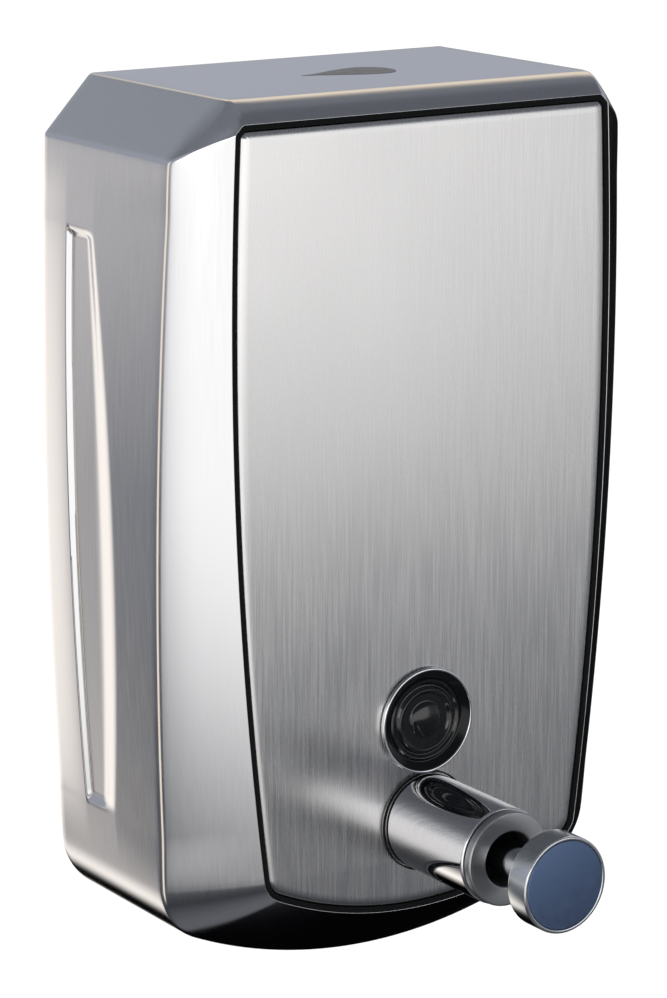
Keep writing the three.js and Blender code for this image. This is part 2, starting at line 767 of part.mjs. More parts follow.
function fillCap() {
  const plugRadius = FILL.neck - TOUCH;
  const plugFront = tankInnerRear + 2 * FREE;
  const disc = turnedOut(
    [
      [0, capRear],
      [FILL.neck + FILL.lip, capRear],
      [FILL.neck + FILL.lip, capFront],
      [plugRadius, capFront],
      [plugRadius, plugFront],
      [plugRadius - TANK.wall, plugFront],
      [plugRadius - TANK.wall, capFront],
      [0, capFront],
    ],
    fillZ,
  );
  const grip = block(
    [-FILL.neck + FREE, -capRear - FREE, fillZ - FILL.gripWidth / 2],
    [FILL.neck - FREE, -capRear + FILL.gripHeight, fillZ + FILL.gripWidth / 2],
  );
  return join(disc, grip);
}

// ---------------------------------------------------------------------------------------------------------
// Sight window
// ---------------------------------------------------------------------------------------------------------
const sealRear = tankInnerFront - TOUCH - PUMP.gasket;
const spacerDepths = [tankFront + TOUCH, cavityFront - TOUCH];
const shankRear = sealRear - TOUCH - PUMP.nutHeight - FREE;

function sightBezel() {
  const shoulder = panelFace + TOUCH;
  const face = shoulder + SIGHT.bezelHeight;
  return turnedOut(
    [
      [sightBore, shankRear],
      [sightShankRadius, shankRear],
      [sightShankRadius, shoulder],
      [SIGHT.bezelRadius, shoulder],
      [SIGHT.bezelRadius, face - PANEL.edge / 2],
      [SIGHT.bezelRadius - PANEL.edge, face],
      [sightBore + PANEL.edge, face],
      [sightBore, face - PANEL.edge],
    ],
    sightZ,
    LARGE_CIRCLE_STEPS,
  );
}

/** The clear plug: a flat floor, a raised ring and a dome in the middle, all turned on one axis. */
function sightPlug() {
  const rear = HOUSING.depth - SIGHT.plugRear;
  const floor = panelFace - FREE;
  const ringTop = panelFace + TOUCH;
  const domeHeight = panelFace + FREE - floor;
  const dome = Array.from({ length: DOME_STEPS + 1 }, (_, step) => {
    const angle = (step / DOME_STEPS) * (Math.PI / 2);
    return [SIGHT.domeRadius * Math.cos(angle), floor + domeHeight * Math.sin(angle)];
  });
  dome[DOME_STEPS][0] = 0;
  return turnedOut(
    [
      [0, rear],
      [sightBore - TOUCH / 2, rear],
      [sightBore - TOUCH / 2, ringTop],
      [SIGHT.ringOuter, floor],
      [(SIGHT.ringOuter + SIGHT.ringInner) / 2, ringTop],
      [SIGHT.ringInner, floor],
      ...dome,
    ],
    sightZ,
  );
}

function sightNut() {
  const front = sealRear - TOUCH;
  return washerOut(sightShankRadius + TOUCH, sightNutRadius, front - SIGHT.nutHeight, front, sightZ);
}

// ---------------------------------------------------------------------------------------------------------
// Push pump
// ---------------------------------------------------------------------------------------------------------
const counterboreRear = barrelFront - PUMP.counterboreDepth;
const flangeRear = counterboreRear + TOUCH;
const cylinderFront = flangeRear + PUMP.flange;
const outletDepth = flangeRear - PUMP.outletRadius;
const pistonFront = outletDepth - PUMP.outletRadius - FREE;
const pistonRear = pistonFront - PLUNGER.pistonLength;
const cylinderFloor = PUMP.cylinderRear + 2 * PUMP.cylinderWall;

/** A hole straight down from the pump's axis. */
function holeDown(radius, depth, fromZ, toZ) {
  return rodUp(radius, toZ, fromZ, depth);
}

function pumpBarrel() {
  const ease = PANEL.edge;
  const body = turnedOut(
    [
      [barrelBore, shankRear],
      [shankRadius, shankRear],
      [shankRadius, barrelRear],
      [barrelRadius, barrelRear],
      [barrelRadius, barrelFront - ease],
      [barrelRadius - ease / 2, barrelFront],
      [counterbore, barrelFront],
      [counterbore, counterboreRear],
      [barrelBore, counterboreRear],
    ],
    pumpZ,
    LARGE_CIRCLE_STEPS,
  );
  return cut(body, holeDown(PUMP.outletRadius, outletDepth, pumpZ, pumpZ - barrelRadius - FREE));
}

function barrelEndRing() {
  const shoulder = barrelFront + TOUCH;
  const ease = PANEL.edge;
  return turnedOut(
    [
      [ringHole, cylinderFront + TOUCH],
      [flangeRadius, cylinderFront + TOUCH],
      [flangeRadius, shoulder],
      [ringRadius, shoulder],
      [ringRadius, ringFront - ease],
      [ringRadius - ease, ringFront],
      [ringHole + ease, ringFront],
      [ringHole, ringFront - ease],
    ],
    pumpZ,
    LARGE_CIRCLE_STEPS,
  );
}

function pumpCylinder() {
  const body = turnedOut(
    [
      [0, PUMP.cylinderRear],
      [cylinderRadius, PUMP.cylinderRear],
      [cylinderRadius, flangeRear],
      [flangeRadius, flangeRear],
      [flangeRadius, cylinderFront],
      [PUMP.cylinderBore, cylinderFront],
      [PUMP.cylinderBore, cylinderFloor],
      [0, cylinderFloor],
    ],
    pumpZ,
  );
  return cut(
    body,
    holeDown(PUMP.outletRadius, outletDepth, pumpZ, pumpZ - cylinderRadius - FREE),
    holeDown(PUMP.inletRadius, inletDepth, pumpZ, pumpZ - cylinderRadius - FREE),
  );
}

function rodSeal() {
  const rear = cylinderFront + 2 * TOUCH;
  return washerOut(PLUNGER.rodRadius + PLUNGER.sealGap, ringHole - TOUCH, rear, rear + PLUNGER.wiperLength, pumpZ);
}

function pumpGasket() {
  return washerOut(shankRadius + TOUCH, pumpNutRadius, sealRear, tankInnerFront - TOUCH, pumpZ);
}

function pumpSpacer() {
  return washerOut(shankRadius + TOUCH, pumpNutRadius, ...spacerDepths, pumpZ);
}

function sightGasket() {
  return washerOut(sightShankRadius + TOUCH, sightNutRadius, sealRear, tankInnerFront - TOUCH, sightZ);
}

function sightSpacer() {
  return washerOut(sightShankRadius + TOUCH, sightNutRadius, ...spacerDepths, sightZ);
}

function pumpNut() {
  const front = sealRear - TOUCH;
  const geometry = hexNut(pumpNutRadius, shankRadius + TOUCH, front - PUMP.nutHeight, front);
  geometry.rotateX(Math.PI / 2);
  geometry.translate(0, 0, pumpZ);
  return solidOf(geometry);
}

function plungerRod() {
  const stubRear = pistonRear - FREE;
  const shoulder = pistonFront + TOUCH;
  const channelFront = outletDepth + PLUNGER.channel;
  const tip = buttonRear + PLUNGER.socketDepth - TOUCH;
  const body = turnedOut(
    [
      [PLUNGER.channel, stubRear],
      [PLUNGER.stubRadius, stubRear],
      [PLUNGER.stubRadius, shoulder],
      [PLUNGER.rodRadius, shoulder],
      [PLUNGER.rodRadius, tip],
      [0, tip],
      [0, channelFront],
      [PLUNGER.channel, channelFront],
    ],
    pumpZ,
    SMALL_CIRCLE_STEPS,
  );
  return cut(body, holeDown(PLUNGER.crossHole, outletDepth, pumpZ, pumpZ - PLUNGER.rodRadius - FREE));
}

function piston() {
  const radius = PUMP.cylinderBore - PLUNGER.pistonGap;
  const bore = PLUNGER.stubRadius + TOUCH;
  const sealFront = (pistonRear + pistonFront + PLUNGER.sealWidth) / 2 + TOUCH;
  const grooveRear = sealFront - PLUNGER.sealWidth - 2 * TOUCH;
  const groove = radius - PLUNGER.sealDepth - TOUCH;
  return turnedOut(
    [
      [bore, pistonRear],
      [radius, pistonRear],
      [radius, grooveRear],
      [groove, grooveRear],
      [groove, sealFront],
      [radius, sealFront],
      [radius, pistonFront],
      [bore, pistonFront],
    ],
    pumpZ,
  );
}

function pistonSeal() {
  const middle = (pistonRear + pistonFront) / 2;
  const outer = PUMP.cylinderBore - PLUNGER.sealGap;
  const inner = PUMP.cylinderBore - PLUNGER.pistonGap - PLUNGER.sealDepth;
  return washerOut(inner, outer, middle - PLUNGER.sealWidth / 2, middle + PLUNGER.sealWidth / 2, pumpZ);
}

function outletDuckbill() {
  const front = pistonRear - FREE - TOUCH;
  const collar = front - FREE;
  const tip = collar - PLUNGER.stubRadius;
  const lip = PLUNGER.channel / 2;
  return turnedOut(
    [
      [PLUNGER.channel, front],
      [collarRadius, front],
      [collarRadius, collar],
      [lip * 2, tip],
      [lip, tip],
      [PLUNGER.channel, collar],
    ],
    pumpZ,
    SMALL_CIRCLE_STEPS,
  );
}

// The coil runs midway between the duckbill's collar and the bore.
const collarRadius = PLUNGER.stubRadius + FREE / 2;
const coilRadius = (collarRadius + PUMP.cylinderBore) / 2;

/** A helix about the pump's axis, from the cylinder's closed end to the piston. */
class SpringPath extends THREE.Curve {
  getPoint(t, target = new THREE.Vector3()) {
    const angle = t * SPRING.turns * 2 * Math.PI;
    const rear = cylinderFloor + TOUCH + SPRING.wire;
    const front = pistonRear - TOUCH - SPRING.wire;
    const depth = THREE.MathUtils.lerp(rear, front, t);
    return target.set(coilRadius * Math.cos(angle), -depth, pumpZ + coilRadius * Math.sin(angle));
  }
}

function returnSpring() {
  const section = new THREE.Shape().absarc(0, 0, SPRING.wire, 0, 2 * Math.PI, false);
  return solidOf(
    new THREE.ExtrudeGeometry(section, {
      steps: SPRING.turns * SPRING.stepsPerTurn,
      extrudePath: new SpringPath(),
      bevelEnabled: false,
      curveSegments: 3,
    }),
  );
}

function pushButton() {
  const face = buttonRear + PLUNGER.buttonThickness;
  const radius = PLUNGER.buttonRadius;
  const ease = PLUNGER.buttonEdge;
  const socket = PLUNGER.rodRadius + TOUCH;
  return turnedOut(
    [
      [socket, buttonRear],
      [radius - ease, buttonRear],
      [radius, buttonRear + ease],
      [radius, face - ease],
      [radius - ease, face],
      [0, face],
      [0, buttonRear + PLUNGER.socketDepth],
      [socket, buttonRear + PLUNGER.socketDepth],
    ],
    pumpZ,
    LARGE_CIRCLE_STEPS,
  );
}

// ---------------------------------------------------------------------------------------------------------
// Inlet valve under the cylinder
// ---------------------------------------------------------------------------------------------------------
const inletTop = pumpZ - cylinderRadius - TOUCH;
const seatTop = inletTop - INLET.chamberHeight;
const seatBottom = seatTop - INLET.seatHeight;
const seatHole = BALL.radius - BALL.seatOverlap;
const tubeRadius = seatHole + INLET.tubeWall;
const inletBottom = seatBottom - INLET.socket;

function inletValveBody() {
  const socketRadius = tubeRadius + TOUCH;
  return turnedUp(
    [
      [inletRadius, inletBottom],
      [inletRadius, inletTop],
      [chamberRadius, inletTop],
      [chamberRadius, seatTop],
      [seatHole, seatBottom],
      [seatHole, seatBottom - FREE],
      [socketRadius, seatBottom - FREE],
      [socketRadius, inletBottom],
    ],
    inletDepth,
  );
}

function suctionTube() {
  const top = seatBottom - FREE - TOUCH;
  const floor = housingBottom + tankInset + TANK.wall;
  return turnedUp(
    [
      [seatHole, floor + 2 * FREE],
      [tubeRadius, floor + 2 * FREE],
      [tubeRadius, top],
      [seatHole, top],
    ],
    inletDepth,
  );
}

/** The ball rests in the conical seat: its centre is its radius, square to the cone, from the cone. */
function inletBall() {
  const widening = chamberRadius - seatHole;
  const cone = Math.hypot(widening, INLET.seatHeight);
  const rise = ((BALL.radius + BALL.seatGap) * cone - seatHole * INLET.seatHeight) / widening;
  const geometry = new THREE.SphereGeometry(BALL.radius, BALL_STEPS, BALL_STEPS / 2);
  geometry.translate(0, -inletDepth, seatBottom + rise);
  return solidOf(geometry);
}

// ---------------------------------------------------------------------------------------------------------
// Key lock in the underside
// ---------------------------------------------------------------------------------------------------------
function lockBody() {
  const headTop = housingBottom - TOUCH;
  const bore = LOCK.plugRadius + TOUCH;
  return turnedUp(
    [
      [bore, headTop - LOCK.headHeight],
      [lockHeadRadius - LOCK.headHeight / 2, headTop - LOCK.headHeight],
      [lockHeadRadius, headTop - LOCK.headHeight / 2],
      [lockHeadRadius, headTop],
      [lockRadius, headTop],
      [lockRadius, lockTopZ],
      [bore, lockTopZ],
    ],
    LOCK.fromWall,
    CIRCLE_STEPS,
  );
}

function lockNut() {
  const low = housingBottom + SHEET + TOUCH + FREE;
  const geometry = hexNut(lockNutRadius, lockRadius + TOUCH, low, low + LOCK.nutHeight);
  geometry.translate(0, -LOCK.fromWall, 0);
  return solidOf(geometry);
}

function lockPlug() {
  const bottom = housingBottom - TOUCH - LOCK.headHeight;
  const slot = LOCK.keySlot;
  return cut(
    rodUp(LOCK.plugRadius, bottom, lockTopZ, LOCK.fromWall),
    block(
      [-slot.length / 2, -LOCK.fromWall - slot.width / 2, bottom - FREE],
      [slot.length / 2, -LOCK.fromWall + slot.width / 2, bottom + slot.depth],
    ),
  );
}

/** The cam points along +X when the lock is open, and turns to the wall when it is locked. */
function lockCam() {
  const half = LOCK.camWidth / 2;
  const blade = block(
    [0, -LOCK.fromWall - half, camBottomZ],
    [LOCK.camReach, -LOCK.fromWall + half, camTopZ],
  );
  const hub = rodUp(LOCK.plugRadius, camBottomZ, camTopZ, LOCK.fromWall);
  return join(hub, blade);
}

function camScrew() {
  const low = camTopZ + TOUCH;
  const half = LOCK.screwRadius;
  const slot = block(
    [-half, -LOCK.fromWall - TOUCH, low + LOCK.screwHeight / 2],
    [half, -LOCK.fromWall + TOUCH, low + LOCK.screwHeight + FREE],
  );
  return cut(rodUp(LOCK.screwRadius, low, low + LOCK.screwHeight, LOCK.fromWall), slot);
}

// ---------------------------------------------------------------------------------------------------------
// Finishes and assembly
// ---------------------------------------------------------------------------------------------------------
const FINISH = {
  satinSteel: { color: 0xb4b4b4, roughness: 0.32, metalness: 1 },
  brushedSteel: { color: 0xbdbbb9, roughness: 0.42, metalness: 1 },
  zincedSteel: { color: 0xa9adb0, roughness: 0.5, metalness: 1 },
  chrome: { color: 0xd8d8da, roughness: 0.08, metalness: 1 },
  satinZinc: { color: 0x8a8f92, roughness: 0.35, metalness: 1 },
  tankPlastic: { color: 0xe9ebe8, roughness: 0.5, metalness: 0 },
  pumpPlastic: { color: 0xf1f0ea, roughness: 0.35, metalness: 0 },
  blackPlastic: { color: 0x1d1e20, roughness: 0.45, metalness: 0 },
  rubber: { color: 0x17181a, roughness: 0.8, metalness: 0 },
  clearPlastic: { color: 0x6f7a80, roughness: 0.08, metalness: 0 },
  brass: { color: 0xb89a5a, roughness: 0.35, metalness: 1 },
};

/** A group of named meshes from [name, solid, finish] rows. */
function assembly(rows) {
  const group = new THREE.Group();
  rows.forEach(([name, solid, finish]) => {
    const mesh = new THREE.Mesh(geometryOf(solid), new THREE.MeshStandardMaterial(finish));
    mesh.name = name;
    group.add(mesh);
  });
  return group;
}

const wallGroup = assembly([["wall_plate", wallPlate(), FINISH.zincedSteel]]);

const housingGroup = assembly([
  ["housing_shell", housingShell(), FINISH.satinSteel],
  ["front_panel", frontPanel(), FINISH.brushedSteel],
  ["hanger_plate", hangerPlate(), FINISH.zincedSteel],
  ...hangerScrewPoints.map((point, i) => [`hanger_screw_${i + 1}`, hangerScrew(point), FINISH.zincedSteel]),
]);

const tankGroup = assembly([
  ["tank", tank(), FINISH.tankPlastic],
  ["fill_gasket", fillGasket(), FINISH.rubber],
  ["fill_cap", fillCap(), FINISH.blackPlastic],
]);

const sightGroup = assembly([
  ["sight_bezel", sightBezel(), FINISH.chrome],
  ["sight_plug", sightPlug(), FINISH.clearPlastic],
  ["sight_spacer", sightSpacer(), FINISH.rubber],
  ["sight_gasket", sightGasket(), FINISH.rubber],
  ["sight_nut", sightNut(), FINISH.blackPlastic],
]);

const pumpGroup = assembly([
  ["pump_barrel", pumpBarrel(), FINISH.chrome],
  ["barrel_end_ring", barrelEndRing(), FINISH.satinZinc],
  ["pump_cylinder", pumpCylinder(), FINISH.pumpPlastic],
  ["pump_spacer", pumpSpacer(), FINISH.rubber],
  ["pump_gasket", pumpGasket(), FINISH.rubber],
  ["pump_nut", pumpNut(), FINISH.brass],
  ["rod_seal", rodSeal(), FINISH.rubber],
  ["inlet_valve_body", inletValveBody(), FINISH.pumpPlastic],
  ["suction_tube", suctionTube(), FINISH.clearPlastic],
  ["inlet_ball", inletBall(), FINISH.satinZinc],
]);

const plungerGroup = assembly([
  ["push_button", pushButton(), FINISH.satinZinc],
  ["plunger_rod", plungerRod(), FINISH.chrome],
  ["piston", piston(), FINISH.pumpPlastic],
  ["piston_seal", pistonSeal(), FINISH.rubber],
  ["outlet_duckbill", outletDuckbill(), FINISH.rubber],
  ["return_spring", returnSpring(), FINISH.satinSteel],
]);

const lockGroup = assembly([
  ["lock_body", lockBody(), FINISH.chrome],
  ["lock_nut", lockNut(), FINISH.zincedSteel],
  ["lock_plug", lockPlug(), FINISH.brass],
  ["lock_cam", lockCam(), FINISH.zincedSteel],
  ["cam_screw", camScrew(), FINISH.zincedSteel],
]);

const dispenser = new THREE.Group();
dispenser.add(wallGroup, housingGroup, tankGroup, sightGroup, pumpGroup, plungerGroup, lockGroup);

export default dispenser;
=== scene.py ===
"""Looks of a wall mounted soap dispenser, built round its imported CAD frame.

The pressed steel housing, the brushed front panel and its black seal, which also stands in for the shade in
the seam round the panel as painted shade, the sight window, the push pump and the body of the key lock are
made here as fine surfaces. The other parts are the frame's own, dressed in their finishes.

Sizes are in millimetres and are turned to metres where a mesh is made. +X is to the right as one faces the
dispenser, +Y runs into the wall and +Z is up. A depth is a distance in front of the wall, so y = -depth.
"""

import logging
from dataclasses import dataclass, field
from enum import Enum

import bmesh
import bpy
import numpy as np
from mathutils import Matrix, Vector
from mathutils.geometry import tessellate_polygon


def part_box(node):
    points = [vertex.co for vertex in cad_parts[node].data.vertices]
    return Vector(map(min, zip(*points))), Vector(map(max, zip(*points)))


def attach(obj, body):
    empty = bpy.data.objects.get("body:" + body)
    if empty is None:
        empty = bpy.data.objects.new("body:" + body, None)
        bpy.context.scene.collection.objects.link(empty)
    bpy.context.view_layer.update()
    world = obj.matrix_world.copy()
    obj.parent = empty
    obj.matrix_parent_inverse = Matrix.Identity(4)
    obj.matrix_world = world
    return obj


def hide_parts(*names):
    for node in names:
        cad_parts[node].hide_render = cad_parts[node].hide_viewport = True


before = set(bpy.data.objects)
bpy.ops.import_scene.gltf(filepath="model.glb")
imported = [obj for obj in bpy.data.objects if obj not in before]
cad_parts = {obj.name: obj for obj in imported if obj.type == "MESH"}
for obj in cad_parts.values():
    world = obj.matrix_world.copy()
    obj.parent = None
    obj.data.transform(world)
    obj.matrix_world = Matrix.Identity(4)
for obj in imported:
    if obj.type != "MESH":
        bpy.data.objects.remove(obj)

Array = np.ndarray
Object, Material = bpy.types.Object, bpy.types.Material
Tree, Node, Socket = bpy.types.NodeTree, bpy.types.Node, bpy.types.NodeSocket
Corners = list[tuple[float, float]]  # radius and height of each corner of a turned piece's section

MM = 0.001
TOUCH = 0.3  # gap between pieces that bear on each other
WELD = 0.004  # points closer than this are one point
GRAIN_MAP = "grain"
FOLD_ANGLE = np.radians(32)  # a sharper fold than this keeps its line in the shading

log = logging.getLogger("dispenser")


# ---------- Surfaces ----------
def node_box(node: str) -> tuple[Array, Array]:
    """Gives the box of a frame node.

    Args:
        node: name of the node.

    Returns:
        Its low and high corners in millimetres.
    """
    low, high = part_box(node)
    return np.array(low) / MM, np.array(high) / MM


def node_front(node: str) -> float:
    """Depth of the front of a frame node."""
    return -node_box(node)[0][1]


def smooth(share: Array) -> Array:
    """Eases 0 to 1: the share squared, times three less twice the share."""
    held = np.clip(share, 0.0, 1.0)
    return held * held * (3.0 - 2.0 * held)


def mix(start: Array, end: Array, share: Array) -> Array:
    """Goes straight from start to end by a share."""
    return start + (end - start) * share


def bend(start: Array, corner: Array, end: Array, steps: int) -> Array:
    """Rounds corners: each point is (1-t)^2 start + 2t(1-t) corner + t^2 end.

    Args:
        start: where each rounding starts, shape (n, axes).
        corner: the sharp corners, same shape.
        end: where each rounding ends, same shape.
        steps: points along each rounding.

    Returns:
        The points, shape (n, steps, axes).
    """
    t = np.linspace(0.0, 1.0, steps)[None, :, None]
    return (1 - t) ** 2 * start[:, None] + 2 * t * (1 - t) * corner[:, None] + t**2 * end[:, None]


def parabola(heights: tuple[float, float, float], t: Array) -> Array:
    """Parabola through three heights, at shares 0, 0.5 and 1."""
    start, middle, end = heights
    return start * (1 - t) * (1 - 2 * t) + middle * 4 * t * (1 - t) + end * t * (2 * t - 1)


def circle(radius: float, centre_z: float, depth: float, steps: int = 96) -> Array:
    """A circle that faces away from the wall, on the centre line, shape (steps, 3)."""
    turn = np.linspace(0.0, 2 * np.pi, steps, endpoint=False)
    x, z = radius * np.cos(turn), centre_z + radius * np.sin(turn)
    return np.stack([x, np.full(steps, -depth), z], axis=-1)


class Surface:
    """Collects grids and flat faces in millimetres, and welds them into one closed mesh object."""

    def __init__(self, name: str) -> None:
        """Starts an empty surface for an object of this name."""
        self.name = name
        self.points: list[Array] = []
        self.faces: list[list[int]] = []
        self.count = 0

    def grid(self, points: Array, closed_rows: bool = False, closed_columns: bool = False) -> None:
        """Adds a grid of four-sided faces.

        Args:
            points: shape (rows, columns, 3).
            closed_rows: whether the last row joins the first one.
            closed_columns: whether the last column joins the first one.
        """
        rows, columns = points.shape[:2]
        index = np.arange(rows * columns).reshape(rows, columns) + self.count
        if closed_rows:
            index = np.concatenate([index, index[:1]], axis=0)
        if closed_columns:
            index = np.concatenate([index, index[:, :1]], axis=1)
        quads = np.stack([index[:-1, :-1], index[1:, :-1], index[1:, 1:], index[:-1, 1:]], axis=-1)
        self._keep(points.reshape(-1, 3), quads.reshape(-1, 4))

    def flat(self, *loops: Array) -> None:
        """Adds the flat face between an outer loop and the holes in it, each of shape (n, 3)."""
        triangles = tessellate_polygon([loop.tolist() for loop in loops])
        self._keep(np.concatenate(loops), np.array(triangles) + self.count)

    def _keep(self, points: Array, faces: Array) -> None:
        """Stores points and the faces that index them."""
        self.points.append(points)
        self.faces.extend(faces.tolist())
        self.count += len(points)

    def build(self, material: Material, body: str) -> Object:
        """Welds the parts, turns the faces outwards and hangs the object on a body.

        Args:
            material: the finish of the whole piece.
            body: the CAD body that the piece moves with.

        Returns:
            The finished object, with its place in its mesh.
        """
        mesh = bpy.data.meshes.new(self.name)
        mesh.from_pydata((np.concatenate(self.points) * MM).tolist(), [], self.faces)
        welded = bmesh.new()
        welded.from_mesh(mesh)
        bmesh.ops.remove_doubles(welded, verts=welded.verts, dist=WELD * MM)
        bmesh.ops.recalc_face_normals(welded, faces=welded.faces)
        welded.to_mesh(mesh)
        welded.free()
        mesh.shade_smooth()
        mesh.set_sharp_from_angle(angle=FOLD_ANGLE)
        mesh.materials.append(material)
        made = bpy.data.objects.new(self.name, mesh)
        bpy.context.scene.collection.objects.link(made)
        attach(made, body)
        return made


def lay_grain(piece: Object) -> None:
    """Gives a front sheet a map whose first axis is its width: its shine stretches across the grain."""
    mesh = piece.data
    points = np.empty(len(mesh.vertices) * 3)
    mesh.vertices.foreach_get("co", points)
    corner = np.empty(len(mesh.loops), dtype=int)
    mesh.loops.foreach_get("vertex_index", corner)
    layer = mesh.uv_layers.new(name=GRAIN_MAP)
    layer.data.foreach_set("uv", points.reshape(-1, 3)[corner][:, [0, 2]].ravel())


class Axis(Enum):
    """Where the axis of a turned piece points."""

    OUT = "out from the wall"
    UP = "upright"


def eased(profile: Corners, ease: float, steps: int = 5) -> Array:
    """Rounds every corner of a closed profile.

    Each corner is replaced by a rounding that starts and ends an ease away from it, or a third of the way
    along a shorter side. Corners on the axis stay sharp.

    Args:
        profile: radius and height of each corner.
        ease: size of the roundings.
        steps: points along each rounding.

    Returns:
        The rounded profile, shape (corners * steps, 2).
    """
    corner = np.array(profile)
    before, after = np.roll(corner, 1, axis=0) - corner, np.roll(corner, -1, axis=0) - corner
    ends = []
    for side in (before, after):
        length = np.linalg.norm(side, axis=1)
        reach = np.minimum(ease, length / 3) * (corner[:, 0] > 0)
        ends.append(corner + side / length[:, None] * reach[:, None])
    start, end = ends
    return bend(start, corner, end, steps).reshape(-1, 2)


def turned(profile: Array, axis: Axis, centre: float, steps: int = 128) -> Array:
    """Turns a closed profile about an axis on the centre line: radius times cosine and sine of the turn.

    Args:
        profile: radius and height along the axis, shape (n, 2).
        axis: where it points. A height is a depth on an axis out from the wall, and z on an upright one.
        centre: z of an axis out from the wall, or depth of an upright one.
        steps: points round the axis.

    Returns:
        The grid, shape (steps, n, 3), to be closed both ways.
    """
    turn = np.linspace(0.0, 2 * np.pi, steps, endpoint=False)[:, None]
    radius, height = profile[None, :, 0], profile[None, :, 1] + 0.0 * turn
    across, along = radius * np.cos(turn), radius * np.sin(turn)
    if axis is Axis.OUT:
        return np.stack([across, -height, centre + along], axis=-1)
    return np.stack([across, along - centre, height], axis=-1)


# ---------- Finishes ----------
NOISE_RANGE = (0.3, 0.7)  # nearly all of a noise lies between these
SCRATCH_RANGE = (0.35, 0.65)  # from the deepest scratches to none
STAIN_RANGE = (0.45, 0.7)  # only the brighter clouds stain
PATCH_WEIGHT = 0.6  # of the soft patches beside the scratches
GRAIN_RANGE = (0.5, 1.1)  # of the scratches with the patches added
STAIN = "#3a3a3a"
MELT_FLOW = (18.0, 18.0, 30.0)  # size of the uneven gloss of a moulding, in mm


def linear(colour: str) -> tuple[float, float, float, float]:
    """Turns an sRGB hex colour to linear light: below 0.04045 a straight share, above it a power of 2.4."""
    coded = np.array([int(colour[i : i + 2], 16) for i in (1, 3, 5)]) / 255
    light = np.where(coded <= 0.04045, coded / 12.92, ((coded + 0.055) / 1.055) ** 2.4)
    return (*light.tolist(), 1.0)


def add_node(
    tree: Tree,
    kind: str,
    settings: dict[str, object] | None = None,
    inputs: dict[str | int, object] | None = None,
) -> Node:
    """Adds one shader node.

    Args:
        tree: the material's or the world's tree.
        kind: type name of the node.
        settings: its own properties.
        inputs: a value or an output socket for each named input.

    Returns:
        The node.
    """
    node = tree.nodes.new(kind)
    for name, value in (settings or {}).items():
        setattr(node, name, value)
    for name, value in (inputs or {}).items():
        if isinstance(value, Socket):
            tree.links.new(value, node.inputs[name])
        else:
            node.inputs[name].default_value = value
    return node


def grain(tree: Tree, position: Socket, lengths: tuple[float, float, float], octaves: float) -> Socket:
    """A noise whose patches have real lengths: the position over them is read by a noise of scale 1.

    Args:
        tree: the material's tree.
        position: object coordinates, in metres.
        lengths: length of a patch along X, Y and Z, in millimetres.
        octaves: finer layers of the noise.

    Returns:
        The noise, about 0.5.
    """
    scale = tuple(1 / (length * MM) for length in lengths)
    inputs = {"Vector": position, "Scale": scale}
    point = add_node(tree, "ShaderNodeMapping", inputs=inputs).outputs["Vector"]
    noise = add_node(tree, "ShaderNodeTexNoise", inputs={"Vector": point, "Scale": 1.0, "Detail": octaves})
    return noise.outputs["Fac"]


@dataclass(frozen=True)
class Finish:
    """A surface finish: what the material is, and how it was made."""

    name: str
    colour: str
    roughness: float
    metallic: float = 0.0

    def material(self) -> Material:
        """Gives the finish's material, made on first use."""
        known = bpy.data.materials.get(self.name)
        if known:
            return known
        material = bpy.data.materials.new(self.name)
        material.use_nodes = True
        tree = material.node_tree
        tree.nodes.clear()
        looks = {"Base Color": linear(self.colour), "Metallic": self.metallic, "Roughness": self.roughness}
        shader = add_node(tree, "ShaderNodeBsdfPrincipled", inputs=looks)
        add_node(tree, "ShaderNodeOutputMaterial", inputs={"Surface": shader.outputs["BSDF"]})
        self.detail(tree, shader, add_node(tree, "ShaderNodeTexCoord").outputs["Object"])
        return material

    def detail(self, tree: Tree, shader: Node, position: Socket) -> None:
        """Adds the marks that the making and the use of the piece leave on it.

        Args:
            tree: the material's tree.
            shader: its Principled shader.
            position: object coordinates.
        """
        raise NotImplementedError

    def wear(
        self,
        shader: Node,
        gloss: tuple[Socket, tuple[float, float], float],
        relief: tuple[Socket, float],
        stain: tuple[Socket, tuple[float, float], tuple[float, float], str] | None = None,
    ) -> None:
        """Drives the shader's roughness, relief and colour by noises.

        Args:
            shader: the Principled shader.
            gloss: a noise, its range, and the roughness to either side of the mean that it brings.
            relief: a noise and its height, in millimetres.
            stain: a noise, its range, the share of the stain at both ends of it, and the stain's colour.
        """
        tree = shader.id_data
        noise, span, spread = gloss
        rough = add_node(
            tree,
            "ShaderNodeMapRange",
            inputs={
                "Value": noise,
                "From Min": span[0],
                "From Max": span[1],
                "To Min": self.roughness - spread,
                "To Max": self.roughness + spread,
            },
        )
        tree.links.new(rough.outputs["Result"], shader.inputs["Roughness"])
        height = {"Height": relief[0], "Distance": relief[1] * MM, "Strength": 1.0}
        bump = add_node(tree, "ShaderNodeBump", inputs=height)
        tree.links.new(bump.outputs["Normal"], shader.inputs["Normal"])
        if stain:
            noise, span, share, colour = stain
            limits = {"From Min": span[0], "From Max": span[1], "To Min": share[0], "To Max": share[1]}
            inputs = {"Value": noise, **limits}
            amount = add_node(tree, "ShaderNodeMapRange", inputs=inputs).outputs["Result"]
            tint = add_node(
                tree,
                "ShaderNodeMix",
                {"data_type": "RGBA", "blend_type": "MULTIPLY"},
                {"Factor": amount, "A": linear(self.colour), "B": linear(colour)},
            )
            tree.links.new(tint.outputs["Result"], shader.inputs["Base Color"])


